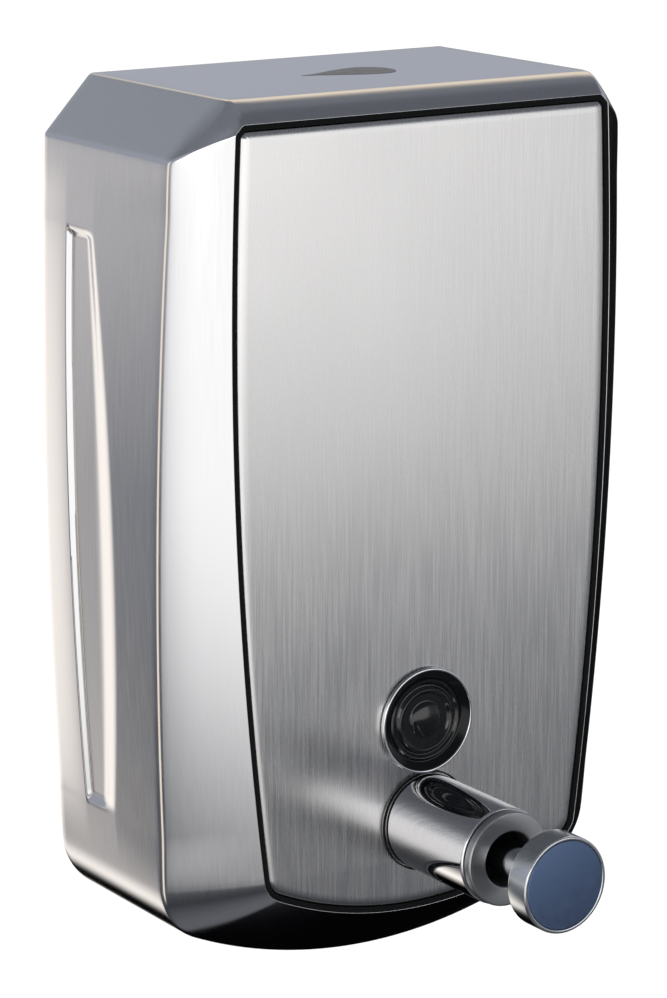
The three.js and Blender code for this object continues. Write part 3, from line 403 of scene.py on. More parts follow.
@dataclass(frozen=True)
class GrainedMetal(Finish):
    """Sheet or turned metal with a directional grain.

    The fine grain tilts and dulls the surface line by line, and wide soft patches change its gloss a little,
    as the pressure of the belt does.
    """

    metallic: float = 1.0
    lengths: tuple[float, float, float] = (0.35, 0.35, 40.0)  # one scratch, in mm
    depth: float = 0.004  # of the scratches, in mm
    spread: float = 0.06  # roughness either side of the mean
    shade: float = 0.06  # how much darker the deepest scratches are
    patch: float = 45.0  # size of the soft patches, in mm
    anisotropy: float = 0.0

    def detail(self, tree: Tree, shader: Node, position: Socket) -> None:
        """Adds scratches to the colour, gloss and relief, and patches to the gloss."""
        scratches = grain(tree, position, self.lengths, octaves=3.0)
        patches = grain(tree, position, (self.patch,) * 3, octaves=2.0)
        weighed = {0: patches, 1: PATCH_WEIGHT, 2: scratches}
        both = add_node(tree, "ShaderNodeMath", {"operation": "MULTIPLY_ADD"}, weighed).outputs[0]
        self.wear(
            shader,
            gloss=(both, GRAIN_RANGE, self.spread),
            relief=(scratches, self.depth),
            stain=(scratches, SCRATCH_RANGE, (self.shade, 0.0), "#000000"),
        )
        if self.anisotropy:
            across = add_node(tree, "ShaderNodeTangent", {"direction_type": "UV_MAP", "uv_map": GRAIN_MAP})
            tree.links.new(across.outputs["Tangent"], shader.inputs["Tangent"])
            shader.inputs["Anisotropic"].default_value = self.anisotropy


@dataclass(frozen=True)
class PlatedMetal(Finish):
    """Plated or ground metal without a grain: a slight orange peel in the relief and cloudy gloss."""

    metallic: float = 1.0
    peel: float = 6.0  # width of the orange peel, in mm
    depth: float = 0.002
    cloud: float = 0.03  # roughness either side of the mean
    speck: float = 0.0  # how much darker the crystals or stains of the plating are
    speck_size: float = 2.0

    def detail(self, tree: Tree, shader: Node, position: Socket) -> None:
        """Adds peel to the relief, clouds to the gloss and specks to the colour."""
        clouds = grain(tree, position, (self.speck_size,) * 3, octaves=4.0)
        self.wear(
            shader,
            gloss=(clouds, NOISE_RANGE, self.cloud),
            relief=(grain(tree, position, (self.peel,) * 3, octaves=1.0), self.depth),
            stain=(clouds, STAIN_RANGE, (0.0, self.speck), STAIN),
        )


@dataclass(frozen=True)
class Moulded(Finish):
    """Moulded plastic or rubber: a fine spark-eroded texture and a slightly uneven gloss."""

    texture: float = 0.5  # width of the texture, in mm
    depth: float = 0.01
    spread: float = 0.08
    ior: float = 1.5
    transmission: float = 0.0

    def detail(self, tree: Tree, shader: Node, position: Socket) -> None:
        """Adds the texture to the relief and an uneven flow to the gloss."""
        self.wear(
            shader,
            gloss=(grain(tree, position, MELT_FLOW, octaves=2.0), NOISE_RANGE, self.spread),
            relief=(grain(tree, position, (self.texture,) * 3, octaves=3.0), self.depth),
        )
        shader.inputs["IOR"].default_value = self.ior
        shader.inputs["Transmission Weight"].default_value = self.transmission


@dataclass(frozen=True)
class TurnedPiece:
    """A round piece: its section turned about an axis on the centre line."""

    name: str
    section: Array
    centre: float  # z of an axis out from the wall, or depth of an upright one
    finish: Finish
    slot: str
    stands_for: str | None = None  # frame node that it replaces
    body: str = "housing"
    axis: Axis = Axis.OUT

    def build(self, grid: Array | None = None) -> Object:
        """Makes the piece.

        Args:
            grid: its surface, where that is more than the turned section.

        Returns:
            The finished object.
        """
        surface = Surface(self.name)
        if grid is None:
            grid = turned(self.section, self.axis, self.centre)
        surface.grid(grid, closed_rows=True, closed_columns=True)
        made = surface.build(self.finish.material(), self.body)
        if self.stands_for:
            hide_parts(self.stands_for)
        return made


# Pressed stainless steel, satin polished: soft reflections with a very fine upright grain.
PRESSED_STAINLESS = GrainedMetal(
    "pressed satin stainless steel",
    "#cfcfd1",
    0.15,
    lengths=(0.5, 0.5, 14.0),
    depth=0.0006,
    spread=0.04,
    shade=0.03,
)
# Front sheet brushed upright on a belt: long straight lines that stretch and dim what it reflects.
BRUSHED_STAINLESS = GrainedMetal(
    "belt brushed stainless steel",
    "#cdcccb",
    0.27,
    lengths=(0.35, 0.35, 18.0),
    depth=0.0013,
    spread=0.05,
    shade=0.09,
    anisotropy=0.8,
)
# Nickel chrome plating on brass: mirror bright, with a faint peel that makes its highlights swim.
CHROME_PLATE = PlatedMetal("nickel chrome plated brass", "#dcdcde", 0.04, depth=0.0004, cloud=0.02)
# Satin chrome on die cast zinc: bright, but softer than the barrel.
SATIN_CHROME = PlatedMetal("satin chrome plated zinc", "#cfd2d4", 0.17, peel=2.0, depth=0.001, cloud=0.03)
# Slate blue satin lacquer over the button's disc: a dull blue-grey with a broad highlight.
SLATE_ZINC = PlatedMetal("slate lacquered zinc", "#5d7090", 0.4, peel=1.2, depth=0.002, cloud=0.05)
# The darker plating of the barrel's end ring.
GREY_ZINC = PlatedMetal("grey plated die cast zinc", "#a4a6a8", 0.36, peel=1.2, depth=0.002, cloud=0.05)
# Galvanised pressings: cool grey with cloudy crystals.
ZINCED_STEEL = PlatedMetal(
    "galvanised pressed steel",
    "#a9adb0",
    0.42,
    peel=3.0,
    depth=0.004,
    cloud=0.06,
    speck=0.12,
    speck_size=3.0,
)
# Lines etched dark into the sheet.
ETCHED_STEEL = PlatedMetal("dark etched stainless steel", "#6d7076", 0.45, peel=0.6, depth=0.003, cloud=0.08)
# Cold drawn spring wire, oiled.
SPRING_WIRE = GrainedMetal(
    "drawn spring steel wire", "#9a9da1", 0.3, lengths=(0.2, 0.2, 0.2), depth=0.002, shade=0.1
)
# Ground and polished ball bearing steel.
BALL_STEEL = PlatedMetal("ground stainless ball steel", "#c9cbce", 0.09, peel=0.8, depth=0.0005, cloud=0.02)
# Turned brass, bare: warm, with fine turning lines.
TURNED_BRASS = GrainedMetal(
    "turned bare brass", "#c2a05a", 0.3, lengths=(0.25, 0.25, 0.25), depth=0.002, shade=0.15
)
# Natural polyethylene, blow moulded: milky, with a soft gloss.
TANK_POLYETHYLENE = Moulded("blow moulded polyethylene", "#e4e6e2", 0.42, texture=1.2, depth=0.02, ior=1.51)
# Acetal, injection moulded: white and a little waxy.
PUMP_ACETAL = Moulded("moulded white acetal", "#efeee8", 0.32, texture=0.4, depth=0.004, ior=1.48)
# Black ABS with a spark-eroded grip texture.
BLACK_ABS = Moulded("moulded black abs", "#1d1e20", 0.42, texture=0.45, depth=0.02, ior=1.54)
# Black acrylic, polished: a deep black that shows the room in small glints.
GLOSS_BLACK = Moulded(
    "polished black acrylic", "#08090a", 0.12, texture=3.0, depth=0.001, spread=0.03, ior=1.3
)
# Nitrile rubber: matt black.
NITRILE = Moulded("moulded nitrile rubber", "#0d0e0f", 0.8, texture=0.3, depth=0.01, ior=1.2)
# Smoked acrylic, polished: dark and clear, with sharp glints.
SMOKED_ACRYLIC = Moulded(
    "polished smoked acrylic",
    "#0f1113",
    0.1,
    texture=4.0,
    depth=0.001,
    spread=0.03,
    ior=1.49,
    transmission=0.4,
)
# Extruded polyethylene tube.
CLEAR_TUBE = Moulded(
    "extruded clear polyethylene", "#d9dee0", 0.2, texture=2.0, depth=0.003, ior=1.51, transmission=0.8
)
# Matt white paint of the studio floor.
STUDIO_PAINT = Moulded("matt white studio paint", "#f4f4f3", 0.9, texture=2.0, depth=0.01)


# ---------- Outlines ----------
@dataclass(frozen=True)
class Stations:
    """How the points of half an outline are shared out, from the middle of the top to that of the bottom."""

    top: int = 12
    fold: int = 5
    cut: int = 12
    side: int = 150
    corner: int = 20
    bottom: int = 26
    dense_at: tuple[float, float] = (0.115, 0.885)  # shares of the side where a pocket ends
    dense_reach: float = 0.045
    dense_gain: float = 2.6
    side_fade: float = 0.08  # share of the side over which a pocket may fade in at each end

    def along_side(self) -> Array:
        """Shares of the side, closer together where a pocket ends.

        The running sum of a density of 1 plus a bell at each pocket end is read backwards.
        """
        fine = np.linspace(0.0, 1.0, 2001)
        bells = sum(np.exp(-(((fine - at) / self.dense_reach) ** 2)) for at in self.dense_at)
        total = np.cumsum(1 + self.dense_gain * bells)
        total = (total - total[0]) / (total[-1] - total[0])
        return np.interp(np.linspace(0.0, 1.0, self.side, endpoint=False), total, fine)


@dataclass(frozen=True)
class Outline:
    """A front view: flat top, cut upper corners, bowed sides, round lower corners and a bowed bottom."""

    top: float
    bottom: float
    half_width: float
    widest_z: float
    side_radius: float
    bottom_radius: float
    lower_corner: float
    cut_width: float
    cut_drop: float
    fold_radius: float
    least_corner: float = 0.8  # radius that the lower corner keeps however far it is moved inwards
    stations: Stations = field(default_factory=Stations)

    def half(self, inset: float) -> Array:
        """The right half, moved inwards.

        Straight runs, arcs about the centres of the side, of the corner and of the bottom, and a rounding
        at each fold follow each other. The corner's circle touches the side's and the bottom's from inside.

        Args:
            inset: how far it is moved inwards.

        Returns:
            Points from the middle of the top to the middle of the bottom, shape (n, 2).
        """
        count = self.stations
        side_radius, bottom_radius = self.side_radius - inset, self.bottom_radius - inset
        corner_radius = max(self.lower_corner - inset, self.least_corner)
        side_centre = np.array([self.half_width - self.side_radius, self.widest_z])
        bottom_centre = np.array([0.0, self.bottom + self.bottom_radius])

        def side_point(angle: Array) -> Array:
            """Points of the side's arc."""
            return side_centre + side_radius * np.stack([np.cos(angle), np.sin(angle)], axis=-1)

        slope = np.arctan2(self.cut_drop, self.cut_width)
        top = self.top - inset
        cut_rise = self.top - self.cut_drop - side_centre[1]
        full_x = side_centre[0] + np.sqrt(self.side_radius**2 - cut_rise**2)
        first = np.array([full_x - self.cut_width - inset * np.tan(slope / 2), top])
        second_z = self.top - self.cut_drop - inset * np.tan((np.pi / 2 - slope) / 2)
        second_angle = np.arcsin((second_z - side_centre[1]) / side_radius)
        second = side_point(second_angle)
        down = (second - first) / np.linalg.norm(second - first)
        reach = self.fold_radius * np.tan(slope / 2)
        side_start = second_angle - reach / side_radius
        folds = bend(
            np.array([first - [reach, 0.0], second - down * reach]),
            np.array([first, second]),
            np.array([first + down * reach, side_point(side_start)]),
            count.fold + 1,
        )[:, :-1]

        between = bottom_centre - side_centre
        span = np.linalg.norm(between)
        unit = between / span
        to_side, to_bottom = side_radius - corner_radius, bottom_radius - corner_radius
        near = (to_side**2 - to_bottom**2 + span**2) / (2 * span)
        across = np.sqrt(to_side**2 - near**2)
        corner_centre = side_centre + unit * near + np.array([unit[1], -unit[0]]) * across
        side_end, bottom_start = (
            np.arctan2(*(corner_centre - centre)[::-1]) for centre in (side_centre, bottom_centre)
        )

        def shares(points: int) -> Array:
            """Even shares from 0 up to, but without, 1."""
            return np.linspace(0.0, 1.0, points, endpoint=False)

        def arc(centre: Array, radius: float, start: float, end: float, share: Array) -> Array:
            """Points of an arc."""
            angle = mix(start, end, share)
            return centre + radius * np.stack([np.cos(angle), np.sin(angle)], axis=-1)

        flat = mix(np.array([0.0, top]), folds[0, 0], shares(count.top)[:, None])
        cut_start = first + down * reach
        cut = mix(cut_start, second - down * reach, shares(count.cut)[:, None])
        return np.concatenate(
            [
                flat,
                folds[0],
                cut,
                folds[1],
                arc(side_centre, side_radius, side_start, side_end, count.along_side()),
                arc(corner_centre, corner_radius, side_end, bottom_start, shares(count.corner)),
                arc(bottom_centre, bottom_radius, bottom_start, -np.pi / 2, shares(count.bottom)),
                [[0.0, self.bottom + inset]],
            ]
        )

    def loop(self, inset: float = 0.0) -> Array:
        """The whole outline, clockwise from the middle of the top, shape (n, 2)."""
        right = self.half(inset)
        left = right[-2:0:-1] * [-1.0, 1.0]
        return np.concatenate([right, left])

    def at(self, inset: float, depth: float) -> Array:
        """The outline at a depth, shape (n, 3)."""
        return placed(self.loop(inset), depth)

    def side_share(self) -> Array:
        """For each point 1 along the sides, fading to 0 over the ends of each side, shape (n,)."""
        count = self.stations
        right = np.zeros(len(self.half(0.0)))
        first = count.top + 2 * count.fold + count.cut
        along = count.along_side()
        right[first : first + count.side] = smooth(np.minimum(along, 1 - along) / count.side_fade)
        return np.concatenate([right, right[-2:0:-1]])

    def top_share(self) -> Array:
        """For each point 1 on the flat top, fading to 0 across the cut corner, shape (n,)."""
        count = self.stations
        right = np.zeros(len(self.half(0.0)))
        run = 2 * count.fold + count.cut
        right[: count.top] = 1.0
        right[count.top : count.top + run] = smooth(np.linspace(1.0, 0.0, run))
        return np.concatenate([right, right[-2:0:-1]])


def placed(loop: Array, depth: float | Array) -> Array:
    """Puts points of a front view at a depth: (x, z) becomes (x, -depth, z)."""
    return np.stack([loop[..., 0], loop[..., 0] * 0.0 - depth, loop[..., 1]], axis=-1)


# ---------- Housing ----------
@dataclass(frozen=True)
class Pocket:
    """The long pocket stamped into each side wall."""

    depth: float = 1.05
    top: float = 68.5
    bottom: float = -65.5
    rear: tuple[float, float] = (12.6, 14.8)  # depth of its rear edge at the top and at the bottom
    front: tuple[float, float, float] = (24.5, 33.5, 28.0)  # of its front edge: top, middle, bottom
    end_wall: float = 2.4  # length of the walls at its two ends
    rear_wall: tuple[float, float] = (1.0, 1.5)  # width of the wall that drops to the floor, top and bottom
    front_wall: tuple[float, float, float] = (4.6, 8.4, 7.0)  # of the wall that climbs from it
    floor_rise: float = 0.08  # the floor is this share shallower towards the front
    rear_fall: float = 1.3  # the strip behind the pocket curves in by this much at the rear edge
    end_fall: float = 0.35  # share of that fall above and below the pocket
    fall_power: float = 1.4  # that fall grows with this power of the distance behind the pocket
    front_fall: float = 0.35  # the sheet in front of it slopes in by this much at the housing's edge

    def rise(self, z: Array) -> Array:
        """Share of the way down from the top end."""
        return np.clip((self.top - z) / (self.top - self.bottom), 0.0, 1.0)

    def rear_edge(self, z: Array) -> Array:
        """Depth of the rear edge, straight from top to bottom."""
        return mix(self.rear[0], self.rear[1], self.rise(z))

    def front_edge(self, z: Array) -> Array:
        """Depth of the front edge: the parabola through its three depths."""
        return parabola(self.front, self.rise(z))

    def stamped(self, depth: Array, z: Array, edge: Array) -> Array:
        """How far the side wall is stamped in.

        Across the pocket it is eased from each edge over the width of that wall, and along it from each end
        over the length of the end wall; the product of the two is the depth. Behind the pocket the wall falls
        in by a power of the distance, most at half height, and in front of it straight.

        Args:
            depth: distance in front of the wall.
            z: height.
            edge: depth at which the side wall ends.

        Returns:
            Millimetres inwards.
        """
        t = self.rise(z)
        rear, front = self.rear_edge(z), self.front_edge(z)
        to_end = np.minimum(self.top - z, z - self.bottom)
        half = (front - rear) / 2
        across = (depth - (front + rear) / 2) / half
        inside = (1 - np.abs(across)) * half
        wall = np.where(across < 0, mix(*self.rear_wall, t), parabola(self.front_wall, t))
        level = 1 - self.floor_rise * across
        pit = self.depth * smooth(inside / wall) * smooth(to_end / self.end_wall) * level
        behind = np.clip((rear - depth) / rear, 0.0, 1.0)
        swell = mix(self.end_fall, 1.0, np.sqrt(4 * t * (1 - t)))
        ahead = np.clip((depth - front) / (edge - front), 0.0, 1.0)
        return pit + self.rear_fall * swell * behind**self.fall_power + self.front_fall * ahead


@dataclass
class Housing:
    """The pressed steel housing with its brushed front panel."""

    sheet: float = 1.0
    rim_width: float = 4.0
    rear_edge: float = 1.5  # rounding of the rear edge
    side_edge: float = 1.3  # rounding between side and sloped border
    cut_edge: float = 3.2  # the same rounding across the cut corners
    setback_top: float = 10.0  # how far behind the rim the border starts, below the cuts
    setback_bottom: float = 19.4
    setback_bow: float = 0.8
    border_bow: float = 0.55  # how far the sloped border bulges
    roll_depth: float = 7.0
    roll_turn: float = 55.0  # degrees of the ellipse in which the top rolls over
    seam: float = 1.3  # open groove round the panel
    lip: float = 0.1  # flat edge beside the groove
    lip_edge: float = 0.05  # rounding of the lip
    lip_wall: float = 0.3  # thickness of the sheet at the lip
    panel_edge: float = 1.1  # depth of the rounding of the panel's front edge
    panel_ease: float = 2.6  # its reach across the face
    widest_drop: float = 86.0  # how far below the top the housing is widest
    panel_widest_drop: float = 55.0  # the same of the panel
    inner_turn: float = 0.4  # the sheet's inner side turns this many thicknesses before the outer one
    rear_knots: tuple[float, float] = (-0.6, 2.8)  # the rear wall's points lie this far about its edge
    front_knots: tuple[float, float] = (-7.5, 0.8)  # the same of the front wall's
    outer_points: tuple[int, ...] = (8, 14, 8, 18, 13)  # points before, on, between, on and after them
    inner_points: tuple[int, ...] = (2, 6, 4, 8, 3)
    border_points: tuple[int, int] = (15, 10)  # across the sloped border, outside and inside
    # The black seal also fills the seam with painted shade: it sits high enough to hide the groove's lit
    # walls.
    shade_seal_gap: float = 0.05  # between the seal and the metal on both sides
    shade_seal_top: float = 0.12  # how far the seal's edges lie below the rim
    shade_seal_dip: float = 0.35  # the same of its middle
    mark_length: float = 24.0
    mark_width: float = 9.5
    mark_depth: float = 33.0  # of its middle, in front of the wall
    pocket: Pocket = field(default_factory=Pocket)
    holes: tuple[tuple[float, float], ...] = ()  # radius and z of the holes through the front

    def __post_init__(self) -> None:
        """Reads the outer sizes from the frame and lays out the two outlines."""
        low, high = node_box("housing_shell")
        self.depth, self.rear = -low[1], -high[1]
        self.outline = Outline(
            top=high[2],
            bottom=low[2],
            half_width=high[0],
            widest_z=high[2] - self.widest_drop,
            side_radius=1180.0,
            bottom_radius=118.0,
            lower_corner=16.0,
            cut_width=12.0,
            cut_drop=12.8,
            fold_radius=2.2,
        )
        panel_low, panel_high = node_box("front_panel")
        self.panel_front, self.panel_back = -panel_low[1], -panel_high[1]
        self.panel = Outline(
            top=panel_high[2],
            bottom=panel_low[2],
            half_width=panel_high[0],
            widest_z=high[2] - self.panel_widest_drop,
            side_radius=935.0,
            bottom_radius=91.0,
            lower_corner=5.0,
            cut_width=1.2,
            cut_drop=1.2,
            fold_radius=1.2,
        )

    def border_depth(self, z: Array) -> Array:
        """Depth at which the side wall ends: a shallow parabola up the side, then straight across the cut."""
        cut_z = self.outline.top - self.outline.cut_drop
        rise = (z - self.outline.bottom) / (cut_z - self.outline.bottom)
        bow = self.setback_bow * 4 * rise * (1 - rise)
        side = self.depth - mix(self.setback_bottom, self.setback_top, rise) + bow
        over = self.depth - mix(self.setback_top, self.roll_depth, (z - cut_z) / self.outline.cut_drop)
        return np.where(rise > 1, over, side)

    def border(self, start: Array, end: Array, share: Array) -> Array:
        """The sloped border between the side's edge and the panel's seam.

        Below the cuts it is straight with a slight bow, four times the share times its rest, square to it. On
        the flat top it is part of an ellipse, so that the top rolls over: forwards by the sine and down by
        one less the cosine of the roll's turn. The cut corners mix both.

        Args:
            start: the side's edge, shape (n, 3).
            end: the seam's edge, shape (n, 3).
            share: how far along the border, shape (n, m) or (1, m).

        Returns:
            Points, shape (n, m, 3).
        """
        rolled = self.outline.top_share()[:, None]
        whole = np.radians(self.roll_turn)
        inwards = mix(share, (1 - np.cos(whole * share)) / (1 - np.cos(whole)), rolled)
        forwards = mix(share, np.sin(whole * share) / np.sin(whole), rolled)
        step = np.stack([inwards, forwards, inwards], axis=-1)
        run = end - start
        level = np.hypot(run[:, 0], run[:, 2])[:, None]
        outwards = -run * [1.0, 0.0, 1.0] * np.abs(run[:, 1:2]) - [0.0, 1.0, 0.0] * level**2
        outwards /= np.linalg.norm(outwards, axis=1)[:, None]
        bow = self.border_bow * 4 * share * (1 - share) * (1 - rolled)
        return mix(start[:, None], end[:, None], step) + outwards[:, None] * bow[..., None]

    def wall(self, inset: float, depths: Array) -> Array:
        """The side wall with its stamped pockets.

        Args:
            inset: how far inside the outer face.
            depths: depth of each point, shape (n, m).

        Returns:
            Points, shape (n, m, 3).
        """
        outer = self.outline.loop()
        inwards = self.outline.loop(1.0) - outer
        z = outer[:, None, 1]
        on_side = self.outline.side_share()[:, None]
        edge = self.border_depth(outer[:, 1])[:, None]
        stamped = self.pocket.stamped(depths, z, edge) * on_side
        moved = outer[:, None] + inwards[:, None] * (inset + stamped)[..., None]
        return placed(moved, depths)

    def wall_depths(self, first: float, last: Array, points: tuple[int, ...]) -> Array:
        """Depths for the side wall, closer together on the pocket's walls.

        Args:
            first: depth where the wall starts.
            last: depth where it ends, shape (n,).
            points: how many points run between each pair of knots.

        Returns:
            Depths, shape (n, m).
        """
        z = self.outline.loop()[:, 1]
        rear, front = self.pocket.rear_edge(z), self.pocket.front_edge(z)
        walls = [rear + knot for knot in self.rear_knots] + [front + knot for knot in self.front_knots]
        knots = [first + 0.0 * z, *walls, last]
        runs = [
            mix(start[:, None], end[:, None], np.linspace(0.0, 1.0, count, endpoint=False)[None])
            for start, end, count in zip(knots, knots[1:], points)
        ]
        return np.concatenate([*runs, last[:, None]], axis=1)

    def close_with_holes(self, surface: Surface, front: Array, back: Array) -> None:
        """Closes a sheet by its flat front and back, with the round holes through both.

        Args:
            surface: the sheet's surface.
            front: edge of the front face, shape (n, 3).
            back: edge of the back face, shape (m, 3).
        """
        edges = []
        for loop in (front, back):
            rings = [circle(radius, z, -loop[0, 1]) for radius, z in self.holes]
            surface.flat(loop, *rings)
            edges.append(rings)
        for near, far in zip(*edges):
            surface.grid(np.stack([near, far], axis=1), closed_rows=True)

    def build_shell(self) -> Object:
        """Carries the sheet's section round the outline.

        The outer half runs from the rear rim over the side, the rounded edge, the border and the lip into the
        seam. The inner half runs back a sheet's thickness behind it. The web behind the panel joins them.

        Returns:
            The shell.
        """
        outer = self.outline.loop()
        edge_depth = self.border_depth(outer[:, 1])
        seam_edge = self.panel.at(-self.seam - self.lip, self.depth)
        corner = self.wall(0.0, edge_depth[:, None])[:, 0]
        rolled = self.outline.top_share()
        rounding = mix(self.side_edge, self.cut_edge, 4 * rolled * (1 - rolled))
        start = rounding / np.linalg.norm(seam_edge - corner, axis=1)
        share = mix(start[:, None], 1.0, np.linspace(0.0, 1.0, self.border_points[0])[None])
        border = self.border(corner, seam_edge, share)
        after_edge = border[:, 0]
        side_end = edge_depth - rounding
        before_edge = self.wall(0.0, side_end[:, None])[:, 0]
        groove_floor = self.panel_back - TOUCH
        lip_start = self.panel.at(-self.seam - self.lip_edge, self.depth)
        seam = self.panel.at(-self.seam, self.depth)
        seam_wall = self.panel.at(-self.seam, self.depth - self.lip_edge)
        rear_depth = np.full((len(outer), 1), self.rear)
        rear_edge = bend(
            self.wall(self.rear_edge, rear_depth)[:, 0],
            self.wall(0.0, rear_depth)[:, 0],
            self.wall(0.0, rear_depth + self.rear_edge)[:, 0],
            steps=6,
        )
        side_depths = self.wall_depths(self.rear + self.rear_edge, side_end, self.outer_points)
        rim = self.sheet + self.rim_width
        outside = np.concatenate(
            [
                self.outline.at(rim, self.rear + self.sheet)[:, None],
                self.outline.at(rim, self.rear)[:, None],
                rear_edge[:, :-1],
                self.wall(0.0, side_depths)[:, :-1],
                bend(before_edge, corner, after_edge, steps=8)[:, :-1],
                border,
                bend(lip_start, seam, seam_wall, steps=5),
                self.panel.at(-self.seam, groove_floor)[:, None],
            ],
            axis=1,
        )
        inner_edge = edge_depth - self.inner_turn * self.sheet
        inner_corner = self.wall(self.sheet, inner_edge[:, None])[:, 0]
        inner_end = self.panel.at(-self.seam - self.lip_wall, self.depth - self.sheet)
        inner_share = np.linspace(1.0, 0.0, self.border_points[1])[None]
        inner_border = self.border(inner_corner, inner_end, inner_share)
        web_back = groove_floor - self.sheet
        inner_border[..., 1] = np.maximum(inner_border[..., 1], -web_back)
        inner_depths = self.wall_depths(self.rear + self.sheet, inner_edge, self.inner_points)
        inside = np.concatenate(
            [
                inner_border[:, :-1],
                self.wall(self.sheet, inner_depths)[:, ::-1],
                self.outline.at(rim, self.rear + self.sheet)[:, None],
            ],
            axis=1,
        )
        surface = Surface("housing_sheet")
        surface.grid(outside, closed_rows=True)
        surface.grid(inside, closed_rows=True)
        self.close_with_holes(surface, outside[:, -1], inside[:, 0])
        shell = surface.build(PRESSED_STAINLESS.material(), "housing")
        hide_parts("housing_shell")
        return shell

    def build_panel(self) -> Object:
        """Makes the front panel: a flat sheet with two holes and a rounded front edge.

        Returns:
            The panel.
        """
        rounding = bend(
            self.panel.at(self.panel_ease, self.panel_front),
            self.panel.at(0.0, self.panel_front),
            self.panel.at(0.0, self.panel_front - self.panel_edge),
            steps=10,
        )
        side = np.concatenate([rounding, self.panel.at(0.0, self.panel_back)[:, None]], axis=1)
        surface = Surface("brushed_panel")
        surface.grid(side, closed_rows=True)
        self.close_with_holes(surface, side[:, 0], side[:, -1])
        panel = surface.build(BRUSHED_STAINLESS.material(), "housing")
        lay_grain(panel)
        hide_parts("front_panel")
        return panel

    def build_seal_and_seam_shade(self) -> Object:
        """Lays the black seal in the seam, which also paints the seam's shade: a five-sided section with a
        dipped face, carried round the panel.

        Returns:
            The seal.
        """
        free = self.shade_seal_gap
        top, dip = self.depth - self.shade_seal_top, self.depth - self.shade_seal_dip
        foot = self.panel_back - TOUCH + free
        section = [
            (free - self.seam, foot),
            (free - self.seam, top),
            (-self.seam / 2, dip),
            (-free, top),
            (-free, foot),
        ]
        # Its black is partly a rubber seal and partly painted shade in the seam.
        surface = Surface("panel_seal_and_seam_shade")
        surface.grid(
            np.stack([self.panel.at(inset, depth) for inset, depth in section], axis=1),
            closed_rows=True,
            closed_columns=True,
        )
        seal_and_shade = surface.build(NITRILE.material(), "housing")
        return seal_and_shade

    def build_mark(self) -> Object:
        """Makes the droplet on the top: a teardrop curve carried in to its middle.

        Round the curve x runs with the cosine of the turn, and y is the width times the sine of the turn
        times the square of the sine of half the turn. Its face is a hair above the sheet.

        Returns:
            The droplet.
        """
        turn = np.linspace(0.0, 2 * np.pi, 97)[:-1, None]
        # Share of the outline and height above the sheet, from the foot to the middle of the face.
        share = np.array([1.0, 1.0, 0.8, 0.0])[None]
        level = np.array([0.0, 0.06, 0.09, 0.09])[None]
        x = -self.mark_length / 2 * np.cos(turn) * share
        y = -self.mark_depth + self.mark_width * np.sin(turn) * np.sin(turn / 2) ** 2 * share
        z = self.outline.top + level + 0.0 * turn
        surface = Surface("droplet_mark")
        surface.grid(np.stack([x, y + 0 * z, z], axis=-1), closed_rows=True)
        surface.flat(np.stack([x[:, 0], y[:, 0], z[:, 0]], axis=-1))
        mark = surface.build(ETCHED_STEEL.material(), "housing")
        return mark


